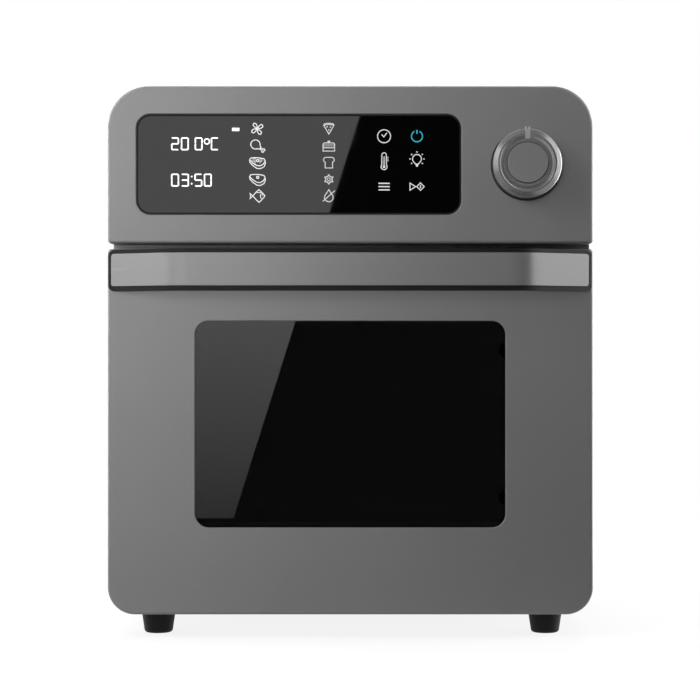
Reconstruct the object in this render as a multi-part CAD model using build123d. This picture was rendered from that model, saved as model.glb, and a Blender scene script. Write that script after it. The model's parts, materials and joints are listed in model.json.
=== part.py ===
from build123d import *
from math import cos, degrees, radians, sin, tan
import os

# Countertop air fryer oven with a drop-down front door.
# Millimetres. X to the right, -Y towards the user, Z up, origin on the worktop under the box's middle.
# A depth is measured backwards from the painted front face, and "out" forwards from it.

# Overall size
WIDTH = 328.0
HEIGHT = 373.0
BODY_DEPTH = 300.0
HANDLE_REACH = 32.0
SPACER_LENGTH = 8.0
DEPTH = HANDLE_REACH + BODY_DEPTH + SPACER_LENGTH
FRONT_Y = HANDLE_REACH - DEPTH / 2
BODY_BOTTOM = 16.0

# Painted front: fascia above, door below
TOP_RADIUS = 28.0
BOTTOM_RADIUS = 18.5
MEETING_RADIUS = 2.5
EDGE_ROUND = 2.0
FASCIA_BOTTOM = 266.6
FASCIA_WALL = 2.0
DOOR_TOP = 262.9
DOOR_WALL = 1.5
OPENING_CHAMFER = 0.6
TOUCH = 0.2

# Steel cabinet behind the front
FRAME_FRONT = 24.0
FRAME_BACK = 25.2
SHEET = 1.0
FRAME_WIDTH = 326.0
CABINET_WIDTH = 324.0
CABINET_LOW = 17.5
CABINET_HIGH = 371.0
CABINET_TOP_RADIUS = 26.0
CABINET_BOTTOM_RADIUS = 16.5
REAR_FRONT = 298.8
BASE_LOW = 18.5
BASE_HALF = 150.0
LIP_START = 146.0
LIP_TOP = 32.0
REAR_FLANGE = 10.0

# Cooking cavity
CAVITY_WIDTH = 250.0
CAVITY_LOW = 39.0
CAVITY_HIGH = 251.0
CAVITY_RADIUS = 12.0
CAVITY_BACK = 287.0
CAVITY_FLANGE = 10.5
MIDDLE_DEPTH = 150.0
FAN_Y = FRONT_Y + MIDDLE_DEPTH
FAN_OPENING = 80.0
HOUSING_FLANGE = 90.0
HOUSING_TOP = 290.0
GRILLE_RADIUS = 88.0
GRILLE_SHEET = 1.2
GRILLE_SLOT = 6.0
GRILLE_BAR = 5.0
GRILLE_RINGS = {16.0: 4, 28.0: 6, 40.0: 8, 52.0: 10, 64.0: 12, 75.0: 14}
GUIDE_LEVELS = (70.0, 120.0, 170.0)
GUIDE_DEPTHS = (42.0, 273.0)
LEDGE = 8.0

# Display and dial
DISPLAY_X = -34.8
DISPLAY_Z = 320.0
DISPLAY_WIDTH = 219.6
DISPLAY_HEIGHT = 68.0
DISPLAY_RADIUS = 9.8
GASKET_WIDTH = 1.0
KNOB_X = 118.8
KNOB_Z = 319.5
SHAFT_RADIUS = 3.0
RUNNING_GAP = 0.05

# Door window
WINDOW_WIDTH = 209.5
WINDOW_LOW = 74.8
WINDOW_HIGH = 214.3
WINDOW_RADIUS = 9.2
WINDOW_Z = (WINDOW_LOW + WINDOW_HIGH) / 2
OUTER_GLASS = 4.0
INNER_GLASS = 3.0
PAN_BACK = 22.0
PAN_SHEET = 1.5
CLAMP_RADIUS = 5.75
CLAMP_X = 106.0
CLAMP_Z = (94.5, 194.6)

# Door hinge and stays
HINGE_DEPTH = 12.0
HINGE_Z = 27.0
HINGE_PIN_RADIUS = 3.0
EYE_RADIUS = 6.0
CHANNEL_X = (144.5, 154.5)
CHEEK_SHEET = 2.8
EAR_X = (148.0, 151.0)
EAR_MIDDLE = sum(EAR_X) / 2
STAY_X = (140.0, 142.0)
STAY_MIDDLE = sum(STAY_X) / 2
STAY_RADIUS = 90.0
STAY_WIDTH = 9.0
STAY_END = -3.7
STAY_TOP = 87.0
STOP_ANGLE = -1.82
STOP_PIN_RADIUS = 2.0
SWITCH_X = 150.0
SWITCH_Z = 239.0
SWITCH_HOLE = 2.3

# Handle
HANDLE_LEAN = 30.0
HANDLE_END_X = 160.4
HANDLE_END_OUT = 7.9
HANDLE_BEND = 40.0
HANDLE_CORNER_X = HANDLE_END_X - (HANDLE_REACH - HANDLE_END_OUT) / tan(radians(HANDLE_LEAN))
FACE_LOW = 237.5
FACE_HIGH = 259.2
FACE_SHEET = 2.0
FACE_CORNER = 2.0
GRIP_LOW = 234.1
GRIP_HIGH = 262.0
GRIP_END_X = 163.1
GRIP_INSET = 1.0
GRIP_BACK = 12.0
GRIP_CORNER = 5.0
GRIP_END_ROUND = 2.0
GRIP_GROOVE = 0.5
GRIP_GROOVE_DEPTH = 0.9
HANDLE_SCREW_X = 156.8
HANDLE_SCREW = 7.3

# Feet
FOOT_X = 133.4
FOOT_DEPTHS = {"front_feet": 35.5, "rear_feet": 270.0}
FOOT_TOE = 9.5
FOOT_SHOULDER = 12.0
FOOT_HOLE = 4.3
FOOT_SCREW_SEAT = 5.0
FOOT_ROUND = 2.4

# Vent slots: pitch, slot length and slot width
VENT_PITCH = 9.0
REAR_SLOT = (34.0, 4.0)
BASE_SLOT = (46.0, 4.0)
SIDE_SLOT = (3.6, 13.0)
SLOT_ROUND = 1.7

# Trays
TRAY_HALF = 121.5
TRAY_FRONT = 45.0
TRAY_BACK = 275.0
TRAY_RIM = 4.0
TRAY_REST_GAP = 0.2
DRIP_TRAY_HEIGHT = 13.0
MESH_TRAY_HEIGHT = 17.0
MESH_HOLE = 12.0
MESH_PITCH = (15.6, 15.4)
MESH_COUNT = (15, 14)

# Screws
SCREW_RADIUS = 2.0
SCREW_HEAD_RADIUS = 3.9
SCREW_HEAD_TOP = 2.6
SCREW_HEAD = 2.6
SCREW_HEAD_EDGE = 1.2
SCREW_CROSS = (3.6, 0.9)
SCREW_CROSS_DEPTH = 1.0
REAR_SCREW_X = 150.0
REAR_SCREW_LEVELS = (110.0, 330.0)
REAR_SCREW = 10.0
FOOT_SCREW = 19.0
GRILLE_SCREW = 7.0
GRILLE_SCREW_CIRCLE = 83.5

# Spit drive, lamp and probe
SPIT_Z = 150.0
LAMP_DEPTH = 220.0
LAMP_Z = 206.0
LAMP_HOLE = 16.0
SPIT_HOLE = 7.0
PROBE_X = -60.0
PROBE_Z = 236.0
PROBE_HOLE = 2.3

# Supply lead gland
GLAND_X = 112.0
GLAND_Z = 48.0
GLAND_BORE = 3.6
GLAND_NECK = 6.1
GLAND_FLANGE = 9.5
GLAND_HEAD = 5.5
GLAND_LENGTH = 14.0

# Pegs at the rear
SPACER_X = 122.0
SPACER_Z = 345.0
SPACER_ROOT = 10.0
SPACER_TIP = 7.2

SIDES = (-1, 1)


# Helpers that place sketches and solids

def facing(depth):
    """Plane parallel to the front at a depth behind it: its x is X and its y is Z."""
    return Plane(origin=(0, FRONT_Y + depth, 0), x_dir=(1, 0, 0), z_dir=(0, -1, 0))


def slab(outline, front, back):
    """Front-view outline given thickness between two depths."""
    return extrude(facing(back) * outline, amount=back - front)


def crosswise(outline, left, right):
    """Side-view outline in (depth, Z), given thickness between two X values."""
    side = Plane(origin=(left, FRONT_Y, 0), x_dir=(0, 1, 0), z_dir=(1, 0, 0))
    return extrude(side * outline, amount=right - left)


def upright(outline, low, high):
    """Plan outline given thickness between two heights."""
    return extrude(Pos(0, 0, low) * outline, amount=high - low)


def block(x, depth, z):
    """Box from (low, high) pairs of X, depth and Z."""
    size = [high - low for low, high in (x, depth, z)]
    middle = [(low + high) / 2 for low, high in (x, depth, z)]
    return Pos(middle[0], FRONT_Y + middle[1], middle[2]) * Box(*size)


def mirrored(pair, side):
    """(low, high) pair of X values on one side of the middle."""
    return tuple(sorted(side * value for value in pair))


def polygon(points):
    return make_face(Polyline(*points, close=True))


def lathe(points):
    """Solid of revolution about Z from (radius, height) points."""
    return revolve(Plane.XZ * polygon(points), Axis.Z)


def lathe_front(points, x, z):
    """Solid of revolution about the front-to-back line at (x, z), from (radius, out) points."""
    return Pos(x, FRONT_Y, z) * Rot(90, 0, 0) * lathe(points)


def lathe_side(points, depth, z):
    """Solid of revolution about the left-to-right line at (depth, z), from (radius, X) points."""
    return Pos(0, FRONT_Y + depth, z) * Rot(0, 90, 0) * lathe(points)


def rod_x(radius, left, right, depth, z):
    return crosswise(Pos(depth, z) * Circle(radius), left, right)


def rod_z(radius, low, high, x=0.0, depth=MIDDLE_DEPTH):
    return upright(Pos(x, FRONT_Y + depth) * Circle(radius), low, high)


def polar(radius, turn, centre_y=0.0):
    return radius * cos(radians(turn)), centre_y + radius * sin(radians(turn))


def panel(width, low, high, top_radius, bottom_radius):
    """Front-view rectangle with its own top and bottom corner radii."""
    outline = Pos(0, (low + high) / 2) * Rectangle(width, high - low)
    outline = fillet(outline.vertices().group_by(Axis.Y)[-1], top_radius)
    return fillet(outline.vertices().group_by(Axis.Y)[0], bottom_radius)


def rounded(width, height, radius, x=0.0, z=0.0):
    return Pos(x, z) * RectangleRounded(width, height, radius)


def disc(radius, x, z):
    return Pos(x, z) * Circle(radius)


def round_front(solid, radius):
    """Rounds the rim of the solid's foremost face."""
    front = solid.faces().sort_by(Axis.Y)[0]
    return fillet(front.edges(), radius)


def chamfer_opening(solid, width):
    """Breaks the front edge of the one opening in the foremost face."""
    front = solid.faces().sort_by(Axis.Y)[0]
    return chamfer(front.inner_wires()[0].edges(), width)


def cabinet_outline(inset=0.0):
    width = CABINET_WIDTH - 2 * inset
    top = CABINET_TOP_RADIUS - inset
    bottom = CABINET_BOTTOM_RADIUS - inset
    return panel(width, CABINET_LOW + inset, CABINET_HIGH - inset, top, bottom)


def screw(length):
    """Pan-head screw along Z: head from 0 down, shank from 0 up."""
    rim = [(0, 0), (SCREW_HEAD_RADIUS, 0), (SCREW_HEAD_RADIUS, -SCREW_HEAD_EDGE)]
    head = lathe(rim + [(SCREW_HEAD_TOP, -SCREW_HEAD), (0, -SCREW_HEAD)])
    arm, width = SCREW_CROSS
    depth = 2 * SCREW_CROSS_DEPTH
    recess = Pos(0, 0, -SCREW_HEAD) * (Box(arm, width, depth) + Box(width, arm, depth))
    return head - recess + Pos(0, 0, length / 2) * Cylinder(SCREW_RADIUS, length)


# Cabinet

def side_vents():
    """Louvre slots, three rows on each side near the top rear."""
    slots = []
    for row in range(3):
        for column in range(12):
            place = Pos(170.0 + VENT_PITCH * column, 300.0 + 19.0 * row)
            slots.append(place * RectangleRounded(*SIDE_SLOT, SLOT_ROUND))
    return crosswise(Sketch() + slots, -WIDTH, WIDTH)


def outer_cover():
    cover = slab(cabinet_outline(), FRAME_BACK, REAR_FRONT)
    cover -= slab(cabinet_outline(SHEET), FRAME_BACK, REAR_FRONT)
    rear_flange = cabinet_outline(SHEET) - cabinet_outline(SHEET + REAR_FLANGE)
    cover += slab(rear_flange, REAR_FRONT - SHEET, REAR_FRONT)
    cover -= block((-LIP_START, LIP_START), (FRAME_BACK, REAR_FRONT), (0, LIP_TOP))
    cover -= side_vents()
    for x, z in rear_screw_places():
        cover -= slab(disc(SCREW_RADIUS, x, z), REAR_FRONT - SHEET, REAR_FRONT)
    return cover


def base_panel():
    base = block((-BASE_HALF, BASE_HALF), (FRAME_BACK, REAR_FRONT), (BASE_LOW, BASE_LOW + SHEET))
    base &= slab(cabinet_outline(SHEET), FRAME_BACK, REAR_FRONT)
    slots = []
    for x in (-70.0, 0.0, 70.0):
        for depth in range(90, 231, 14):
            slots.append(Pos(x, FRONT_Y + depth) * RectangleRounded(*BASE_SLOT, SLOT_ROUND))
    base -= upright(Sketch() + slots, BASE_LOW, BASE_LOW + SHEET)
    for x, depth in foot_places():
        base -= rod_z(SCREW_RADIUS, BASE_LOW, BASE_LOW + SHEET, x, depth)
    return base


def rear_screw_places():
    return [(side * REAR_SCREW_X, z) for side in SIDES for z in REAR_SCREW_LEVELS]


def rear_panel():
    rear = slab(cabinet_outline(), REAR_FRONT, BODY_DEPTH)
    slots = []
    for rows, low, columns in ((9, 268.0, (-66.0, -22.0, 22.0, 66.0)), (4, 58.0, (-44.0, 0.0, 44.0))):
        for row in range(rows):
            for x in columns:
                slots.append(Pos(x, low + VENT_PITCH * row) * RectangleRounded(*REAR_SLOT, SLOT_ROUND))
    rear -= slab(Sketch() + slots, REAR_FRONT, BODY_DEPTH)
    rear -= slab(disc(GLAND_NECK + 0.1, GLAND_X, GLAND_Z), REAR_FRONT, BODY_DEPTH)
    for x, z in rear_screw_places():
        rear -= slab(disc(SCREW_RADIUS, x, z), REAR_FRONT, BODY_DEPTH)
    return rear


def rear_spacers():
    """Two pegs that keep the hot rear off a wall."""
    front, back = -BODY_DEPTH, -BODY_DEPTH - SPACER_LENGTH
    cone = [(SPACER_ROOT, front), (SPACER_TIP + 1.2, back + 1.0), (SPACER_TIP, back)]
    profile = [(0, front)] + cone + [(0, back)]
    pegs = Part()
    for side in SIDES:
        pegs += lathe_front(profile, side * SPACER_X, SPACER_Z)
    return pegs


def cord_gland():
    panel_out = -BODY_DEPTH
    inner_end = panel_out + GLAND_LENGTH - GLAND_HEAD
    outer_end = panel_out - GLAND_HEAD
    profile = [
        (GLAND_BORE, inner_end),
        (GLAND_NECK, inner_end),
        (GLAND_NECK, panel_out),
        (GLAND_FLANGE, panel_out),
        (GLAND_FLANGE - 0.5, panel_out - 3.0),
        (GLAND_NECK + 0.5, outer_end),
        (GLAND_BORE, outer_end),
    ]
    return lathe_front(profile, GLAND_X, GLAND_Z)


def foot_places():
    return [(side * FOOT_X, depth) for depth in FOOT_DEPTHS.values() for side in SIDES]


def foot():
    outside = [(FOOT_HOLE, 0), (FOOT_TOE, 0), (FOOT_SHOULDER, BASE_LOW - 1.9), (FOOT_SHOULDER, BASE_LOW)]
    inside = [(SCREW_RADIUS, BASE_LOW), (SCREW_RADIUS, FOOT_SCREW_SEAT), (FOOT_HOLE, FOOT_SCREW_SEAT)]
    outline = polygon(outside + inside)
    outline = fillet(outline.vertices().sort_by_distance((FOOT_TOE, 0, 0))[0], FOOT_ROUND)
    return revolve(Plane.XZ * outline, Axis.Z)


def feet(depth):
    pair = Part()
    for side in SIDES:
        pair += Pos(side * FOOT_X, FRONT_Y + depth, 0) * foot()
    return pair


def m4_screws():
    """Foot, rear panel and grille screws, all of one size."""
    group = Part()
    for x, depth in foot_places():
        group += Pos(x, FRONT_Y + depth, FOOT_SCREW_SEAT) * screw(FOOT_SCREW)
    for x, z in rear_screw_places():
        group += Pos(x, FRONT_Y + BODY_DEPTH, z) * Rot(90, 0, 0) * screw(REAR_SCREW)
    for x, y in grille_screw_places():
        group += Pos(x, y, CAVITY_HIGH - GRILLE_SHEET) * screw(GRILLE_SCREW)
    return group


# Frame, cavity and what is fixed to them

def front_frame():
    """Steel frame behind the fascia and the door, with openings for what passes through it."""
    outline = panel(FRAME_WIDTH, BASE_LOW, CABINET_HIGH, CABINET_TOP_RADIUS, CABINET_BOTTOM_RADIUS - 0.5)
    openings = cavity_outline()
    for width, x in ((100.0, -70.0), (60.0, 30.0)):
        openings += rounded(width, 44.0, 6.0, x, DISPLAY_Z)
    openings += disc(SWITCH_HOLE, SWITCH_X, SWITCH_Z)
    for side in SIDES:
        openings += rounded(4.0, 11.0, 0.8, side * STAY_MIDDLE, 116.1)
        openings += rounded(3.4, 12.4, 0.3, side * EAR_MIDDLE, HINGE_Z)
    return slab(outline - openings, FRAME_FRONT, FRAME_BACK)


def fan_hole(radius):
    return Pos(0, FAN_Y) * Circle(radius)


def grille_screw_places():
    return [polar(GRILLE_SCREW_CIRCLE, turn, FAN_Y) for turn in (45, 135, 225, 315)]


def cavity_outline(outset=0.0):
    radius = CAVITY_RADIUS + outset
    return panel(CAVITY_WIDTH + 2 * outset, CAVITY_LOW - outset, CAVITY_HIGH + outset, radius, radius)


def cavity_liner():
    """Wrapper that forms the cavity's floor, walls and roof, with a flange round its mouth."""
    liner = slab(cavity_outline(SHEET), FRAME_BACK, CAVITY_BACK)
    liner += slab(cavity_outline(CAVITY_FLANGE), FRAME_BACK, FRAME_BACK + SHEET)
    liner -= slab(cavity_outline(), FRAME_BACK, CAVITY_BACK)
    liner -= upright(fan_hole(FAN_OPENING), CAVITY_HIGH - SHEET, CAVITY_HIGH + SHEET)
    wall = CAVITY_WIDTH / 2
    liner -= rod_x(LAMP_HOLE, wall - SHEET, wall + 2 * SHEET, LAMP_DEPTH, LAMP_Z)
    liner -= rod_x(SPIT_HOLE, -wall - 2 * SHEET, SHEET - wall, MIDDLE_DEPTH, SPIT_Z)
    for x, y in grille_screw_places():
        liner -= upright(Pos(x, y) * Circle(SCREW_RADIUS), CAVITY_HIGH, CAVITY_HIGH + SHEET)
    return liner


def cavity_back():
    """Flat rear wall welded to the wrapper."""
    wall = cavity_outline(SHEET) - disc(PROBE_HOLE, PROBE_X, PROBE_Z)
    return slab(wall, CAVITY_BACK, CAVITY_BACK + SHEET)


def fan_housing():
    """Pressed steel dome over the heater and the fan."""
    low, high = CAVITY_HIGH + SHEET, HOUSING_TOP
    housing = upright(fan_hole(HOUSING_FLANGE) - fan_hole(FAN_OPENING), low, low + SHEET)
    housing += upright(fan_hole(FAN_OPENING + SHEET), low, high)
    housing -= upright(fan_hole(FAN_OPENING), low, high - SHEET)
    housing -= upright(fan_hole(2 * SHAFT_RADIUS), high - SHEET, high)
    for x, y in heater_terminal_places():
        housing -= upright(Pos(x, y) * Circle(TERMINAL_HOLE), high - SHEET, high)
    for x, y in grille_screw_places():
        housing -= upright(Pos(x, y) * Circle(SCREW_RADIUS), low, low + SHEET)
    return housing


def arc_slot(radius, turn, span, width):
    """Slot that follows a circle, in plan."""
    inner = CenterArc((0, 0), radius - width / 2, turn, span)
    outer = CenterArc((0, 0), radius + width / 2, turn, span)
    return make_face([inner, outer, Line(inner @ 0, outer @ 0), Line(inner @ 1, outer @ 1)])


def air_grille():
    """Slotted cover under the heater, screwed to the cavity's roof."""
    plate = Circle(GRILLE_RADIUS)
    for radius, count in GRILLE_RINGS.items():
        step = 360.0 / count
        gap = degrees(GRILLE_BAR / radius)
        for index in range(count):
            plate -= arc_slot(radius, index * step, step - gap, GRILLE_SLOT)
    plate = Pos(0, FAN_Y) * plate
    for x, y in grille_screw_places():
        plate -= Pos(x, y) * Circle(SCREW_RADIUS)
    return upright(plate, CAVITY_HIGH - GRILLE_SHEET, CAVITY_HIGH)


def rack_guide(side):
    """Side plate with three ledges that carry the trays."""
    middle_depth = sum(GUIDE_DEPTHS) / 2
    web = Pos(middle_depth, GUIDE_LEVELS[1]) * RectangleRounded(235.0, 124.0, 6.0)
    for middle, height in ((93.5, 33.0), (146.0, 34.0)):
        web -= Pos(middle_depth, middle) * RectangleRounded(196.0, height, 6.0)
    wall = CAVITY_WIDTH / 2
    guide = crosswise(web, *mirrored((wall - SHEET, wall), side))
    ledge_x = mirrored((wall - SHEET - LEDGE, wall - SHEET), side)
    for level in GUIDE_LEVELS:
        guide += block(ledge_x, GUIDE_DEPTHS, (level - SHEET, level))
    return guide


# Heater and fan

HEATER_Z = 262.0
HEATER_TUBE = 3.25
HEATER_OUTER = 68.0
HEATER_INNER = 52.0
HEATER_TOP = 302.0
FIRST_TERMINAL = 8.0
SECOND_TERMINAL = -6.0
TERMINAL_HOLE = 3.7
TURN_BACK = 334.0
SHAFT_LOW = 264.0
SHAFT_HIGH = 338.0
BLADE_SHEET = 1.4
BLADE_TWIST = 24.0
HUB_DISC = 1.5
SHIELD_LOW = 294.0
SHIELD_SIZE = (240.0, 210.0)
BRACKET_TOP = 321.0
BRACKET_SHEET = 2.0
MOTOR_LEVELS = (321.0, 341.0, 350.0)
MOTOR_RADII = (30.0, 22.0)


def heater_terminal_places():
    return [polar(HEATER_OUTER, turn, FAN_Y) for turn in (FIRST_TERMINAL, SECOND_TERMINAL)]


def bent_tube(radius, start, span, centre=(0.0, 0.0)):
    """Part of a ring of heater tube, about its own centre."""
    ring = Pos(radius, 0, 0) * Rot(90, 0, 0) * Circle(HEATER_TUBE)
    arc = revolve(ring, Axis.Z, revolution_arc=span)
    return Pos(centre[0], centre[1], 0) * Rot(0, 0, start) * arc


def heating_element():
    """Two rings in one tube, with both ends rising through the fan housing."""
    element = bent_tube(HEATER_OUTER, FIRST_TERMINAL, TURN_BACK - FIRST_TERMINAL)
    element += bent_tube(HEATER_INNER, SECOND_TERMINAL, TURN_BACK - SECOND_TERMINAL)
    middle = (HEATER_OUTER + HEATER_INNER) / 2
    element += bent_tube(middle - HEATER_INNER, TURN_BACK, 180.0, polar(middle, TURN_BACK))
    reach = HEATER_OUTER - HEATER_INNER
    leg = Pos(middle, 0, 0) * Rot(0, 90, 0) * Cylinder(HEATER_TUBE, reach)
    element += Rot(0, 0, SECOND_TERMINAL) * leg
    rise = HEATER_TOP - HEATER_Z
    for turn in (FIRST_TERMINAL, SECOND_TERMINAL):
        x, y = polar(HEATER_OUTER, turn)
        element += Pos(x, y, rise / 2) * Cylinder(HEATER_TUBE, rise)
        element += Pos(x, y, 0) * Sphere(HEATER_TUBE)
    x, y = polar(HEATER_INNER, SECOND_TERMINAL)
    element += Pos(x, y, 0) * Sphere(HEATER_TUBE)
    return Pos(0, FAN_Y, HEATER_Z) * element


def impeller(radius, low, high, disc_low, blades, hub_radius):
    """Disc with leaning blades on a hub, about the fan's own axis."""
    wheel = rod_z(radius, disc_low, disc_low + HUB_DISC) + rod_z(hub_radius, low, high)
    inner = 0.4 * radius
    plate = Box(0.9 * (radius - inner), BLADE_SHEET, high - low)
    blade = Rot(0, 0, BLADE_TWIST) * Pos((radius + inner) / 2, 0, (low + high) / 2) * plate
    blade = Pos(0.05 * radius, 0, 0) * blade
    for index in range(blades):
        wheel += Pos(0, FAN_Y, 0) * Rot(0, 0, index * 360.0 / blades) * blade
    wheel &= rod_z(radius, low, high)
    return wheel - rod_z(SHAFT_RADIUS, low, high)


def convection_impeller():
    return impeller(62.0, 267.0, 284.0, 282.5, 10, 9.0)


def cooling_impeller():
    return impeller(44.0, 302.0, 314.0, 302.0, 9, 8.0)


def motor_shaft():
    return rod_z(SHAFT_RADIUS, SHAFT_LOW, SHAFT_HIGH)


def heat_shield():
    """Plate between the hot fan housing and the motor, on four legs."""
    plate = Pos(0, FAN_Y) * RectangleRounded(*SHIELD_SIZE, 8.0) - fan_hole(4 * SHAFT_RADIUS)
    for x, y in heater_terminal_places():
        plate -= Pos(x, y) * Circle(2 * TERMINAL_HOLE)
    shield = upright(plate, SHIELD_LOW, SHIELD_LOW + SHEET)
    for side in SIDES:
        leg_x = mirrored((100.0, 114.0), side)
        for depth in (50.0, 249.0):
            shield += block(leg_x, (depth, depth + SHEET), (CAVITY_HIGH + SHEET, SHIELD_LOW))
    return shield


def motor_bracket():
    span, foot_x, low = 182.0, (88.0, 90.0), BRACKET_TOP - BRACKET_SHEET
    outline = Pos(0, FAN_Y) * RectangleRounded(span, 40.0, 4.0) - fan_hole(3 * SHAFT_RADIUS)
    strap = upright(outline, low, BRACKET_TOP)
    for side in SIDES:
        strap += block(mirrored(foot_x, side), (132.0, 168.0), (SHIELD_LOW + SHEET, low))
    return strap


def fan_motor():
    low, shoulder, high = MOTOR_LEVELS
    body = rod_z(MOTOR_RADII[0], low, shoulder) + rod_z(MOTOR_RADII[1], shoulder, high)
    for side in SIDES:
        body += block(mirrored((26.0, 33.0), side), (142.0, 158.0), (low + 3.0, shoulder - 3.0))
    return body - rod_z(SHAFT_RADIUS + RUNNING_GAP, low, SHAFT_HIGH + 1.0)


# Spit drive, lamp and sensors

SPIT_MOTOR_RADIUS = 25.0
SPIT_MOTOR_LEFT = -152.0
SPIT_MOTOR_RIGHT = -133.0
SPIT_SHAFT = 4.0
SPIT_SHAFT_LEFT = -146.0
SPIT_CUP = 9.0
SPIT_CUP_LEFT = -122.0
SPIT_CUP_RIGHT = -111.0
SPIT_SQUARE = 8.4


def rotisserie_motor():
    """Flat geared motor on two posts outside the left wall."""
    outside = -(CAVITY_WIDTH / 2 + SHEET)
    motor = rod_x(SPIT_MOTOR_RADIUS, SPIT_MOTOR_LEFT, SPIT_MOTOR_RIGHT, MIDDLE_DEPTH, SPIT_Z)
    for side in SIDES:
        motor += rod_x(4.0, SPIT_MOTOR_RIGHT, outside, MIDDLE_DEPTH + side * 20.0, SPIT_Z)
    bore = SPIT_SHAFT + RUNNING_GAP
    return motor - rod_x(bore, SPIT_SHAFT_LEFT - 1.0, SPIT_MOTOR_RIGHT, MIDDLE_DEPTH, SPIT_Z)


def spit_socket():
    """Turning cup with a square socket for a spit."""
    socket = rod_x(SPIT_SHAFT, SPIT_SHAFT_LEFT, SPIT_CUP_LEFT, MIDDLE_DEPTH, SPIT_Z)
    socket += rod_x(SPIT_CUP, SPIT_CUP_LEFT, SPIT_CUP_RIGHT, MIDDLE_DEPTH, SPIT_Z)
    square = Pos(MIDDLE_DEPTH, SPIT_Z) * Rectangle(SPIT_SQUARE, SPIT_SQUARE)
    return socket - crosswise(square, SPIT_CUP_LEFT + 2.0, SPIT_CUP_RIGHT)


def spit_bracket():
    """Open rest for the spit's other end, on the right wall."""
    wall = CAVITY_WIDTH / 2
    middle = SPIT_Z + 1.0
    plate = Pos(MIDDLE_DEPTH, middle) * RectangleRounded(26.0, 23.0, 4.0)
    rest = crosswise(plate, wall - SHEET, wall)
    notch = 4.4
    hook = Pos(MIDDLE_DEPTH, middle) * RectangleRounded(16.0, 20.0, 4.0)
    hook -= Pos(MIDDLE_DEPTH, SPIT_Z) * Circle(notch)
    hook -= Pos(MIDDLE_DEPTH, SPIT_Z + 6.0) * Rectangle(2 * notch, 12.0)
    return rest + crosswise(hook, wall - 12.0, wall - SHEET)


LAMP_SEAT = 150.0
LAMP_FLANGE = 25.0


def lamp_housing():
    outside = CAVITY_WIDTH / 2 + SHEET
    rim = outside + SHEET
    flange = [(LAMP_HOLE, outside), (LAMP_FLANGE, outside), (LAMP_FLANGE, rim), (19.0, rim)]
    cup = [(17.0, LAMP_SEAT + SHEET), (0, LAMP_SEAT + SHEET), (0, LAMP_SEAT), (LAMP_HOLE, LAMP_SEAT)]
    return lathe_side(flange + cup, LAMP_DEPTH, LAMP_Z)


def lamp_bulb():
    """Small halogen bulb on its base, pointing at the cavity."""
    from_seat = [(0, 0), (7.0, 0), (7.0, 8.0), (5.0, 9.0), (6.5, 14.0), (5.5, 19.0), (2.5, 21.5), (0, 22.0)]
    return lathe_side([(radius, LAMP_SEAT - reach) for radius, reach in from_seat], LAMP_DEPTH, LAMP_Z)


def lamp_glass():
    """Shallow glass dome over the lamp's hole."""
    wall = CAVITY_WIDTH / 2
    from_wall = [(0, 4.0), (12.0, 3.4), (18.0, 1.6), (20.0, 1.2), (20.0, 0), (0, 0)]
    return lathe_side([(radius, wall - rise) for radius, rise in from_wall], LAMP_DEPTH, LAMP_Z)


def temperature_probe():
    """Thin sensor tube through the cavity's rear wall."""
    tip, back, radius, head = -256.0, -CAVITY_BACK - SHEET, 2.0, 5.0
    tube = [(0, tip), (1.4, tip - 0.6), (radius, tip - 2.0), (radius, back)]
    return lathe_front(tube + [(head, back), (head, back - 4.0), (0, back - 4.0)], PROBE_X, PROBE_Z)


def thermal_cutout():
    """Round safety switch on the roof, with its two blades."""
    roof, x, depth = CAVITY_HIGH + SHEET, -98.0, 70.0
    body = rod_z(8.0, roof, roof + 9.0, x, depth)
    for side in SIDES:
        body += Pos(x + 4.0 * side, FRONT_Y + depth, roof + 12.0) * Box(0.8, 5.0, 6.0)
    return body


# Control panel

GLASS_FRONT = 0.3
GLASS_BACK = 3.3
MODULE_BACK = 8.3
BOARD_SHEET = 1.6
BOARD_POST_X = 112.0
BOARD_POST_Z = 36.0
BOSS_X = 154.0
BOSS_LEVELS = (276.0, 348.0)
ENCODER_SIZE = 14.0
ENCODER_NECK = 4.6
ENCODER_NECK_OUT = 2.5
NECK_HOLE = 5.0


def board_corners():
    offsets = [(BOARD_POST_X * side, BOARD_POST_Z * level) for side in SIDES for level in SIDES]
    return [(DISPLAY_X + x, DISPLAY_Z + z) for x, z in offsets]


def control_fascia():
    """Moulded and painted front of the controls, open for the display and the dial."""
    outline = panel(WIDTH, FASCIA_BOTTOM, HEIGHT, TOP_RADIUS, MEETING_RADIUS)
    inside_low, inside_high = FASCIA_BOTTOM + FASCIA_WALL, HEIGHT - FASCIA_WALL
    inside = panel(WIDTH - 2 * FASCIA_WALL, inside_low, inside_high, TOP_RADIUS - FASCIA_WALL, 0.5)
    fascia = round_front(slab(outline, 0, FRAME_FRONT), EDGE_ROUND)
    fascia -= slab(inside, FASCIA_WALL, FRAME_FRONT)
    fascia -= slab(display_ring(0), 0, FASCIA_WALL)
    fascia = chamfer_opening(fascia, OPENING_CHAMFER)
    fascia -= slab(disc(NECK_HOLE, KNOB_X, KNOB_Z), 0, FASCIA_WALL)
    for x, z in board_corners():
        fascia += slab(disc(3.0, x, z), FASCIA_WALL, MODULE_BACK)
    for side in SIDES:
        for z in BOSS_LEVELS:
            boss = disc(4.0, side * BOSS_X, z) - disc(1.6, side * BOSS_X, z)
            fascia += slab(boss, FASCIA_WALL, FRAME_FRONT)
    return fascia


def display_ring(inset):
    width, height = DISPLAY_WIDTH - 2 * inset, DISPLAY_HEIGHT - 2 * inset
    return rounded(width, height, DISPLAY_RADIUS - inset, DISPLAY_X, DISPLAY_Z)


def display_gasket():
    return slab(display_ring(0) - display_ring(GASKET_WIDTH), OPENING_CHAMFER, FASCIA_WALL)


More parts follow.
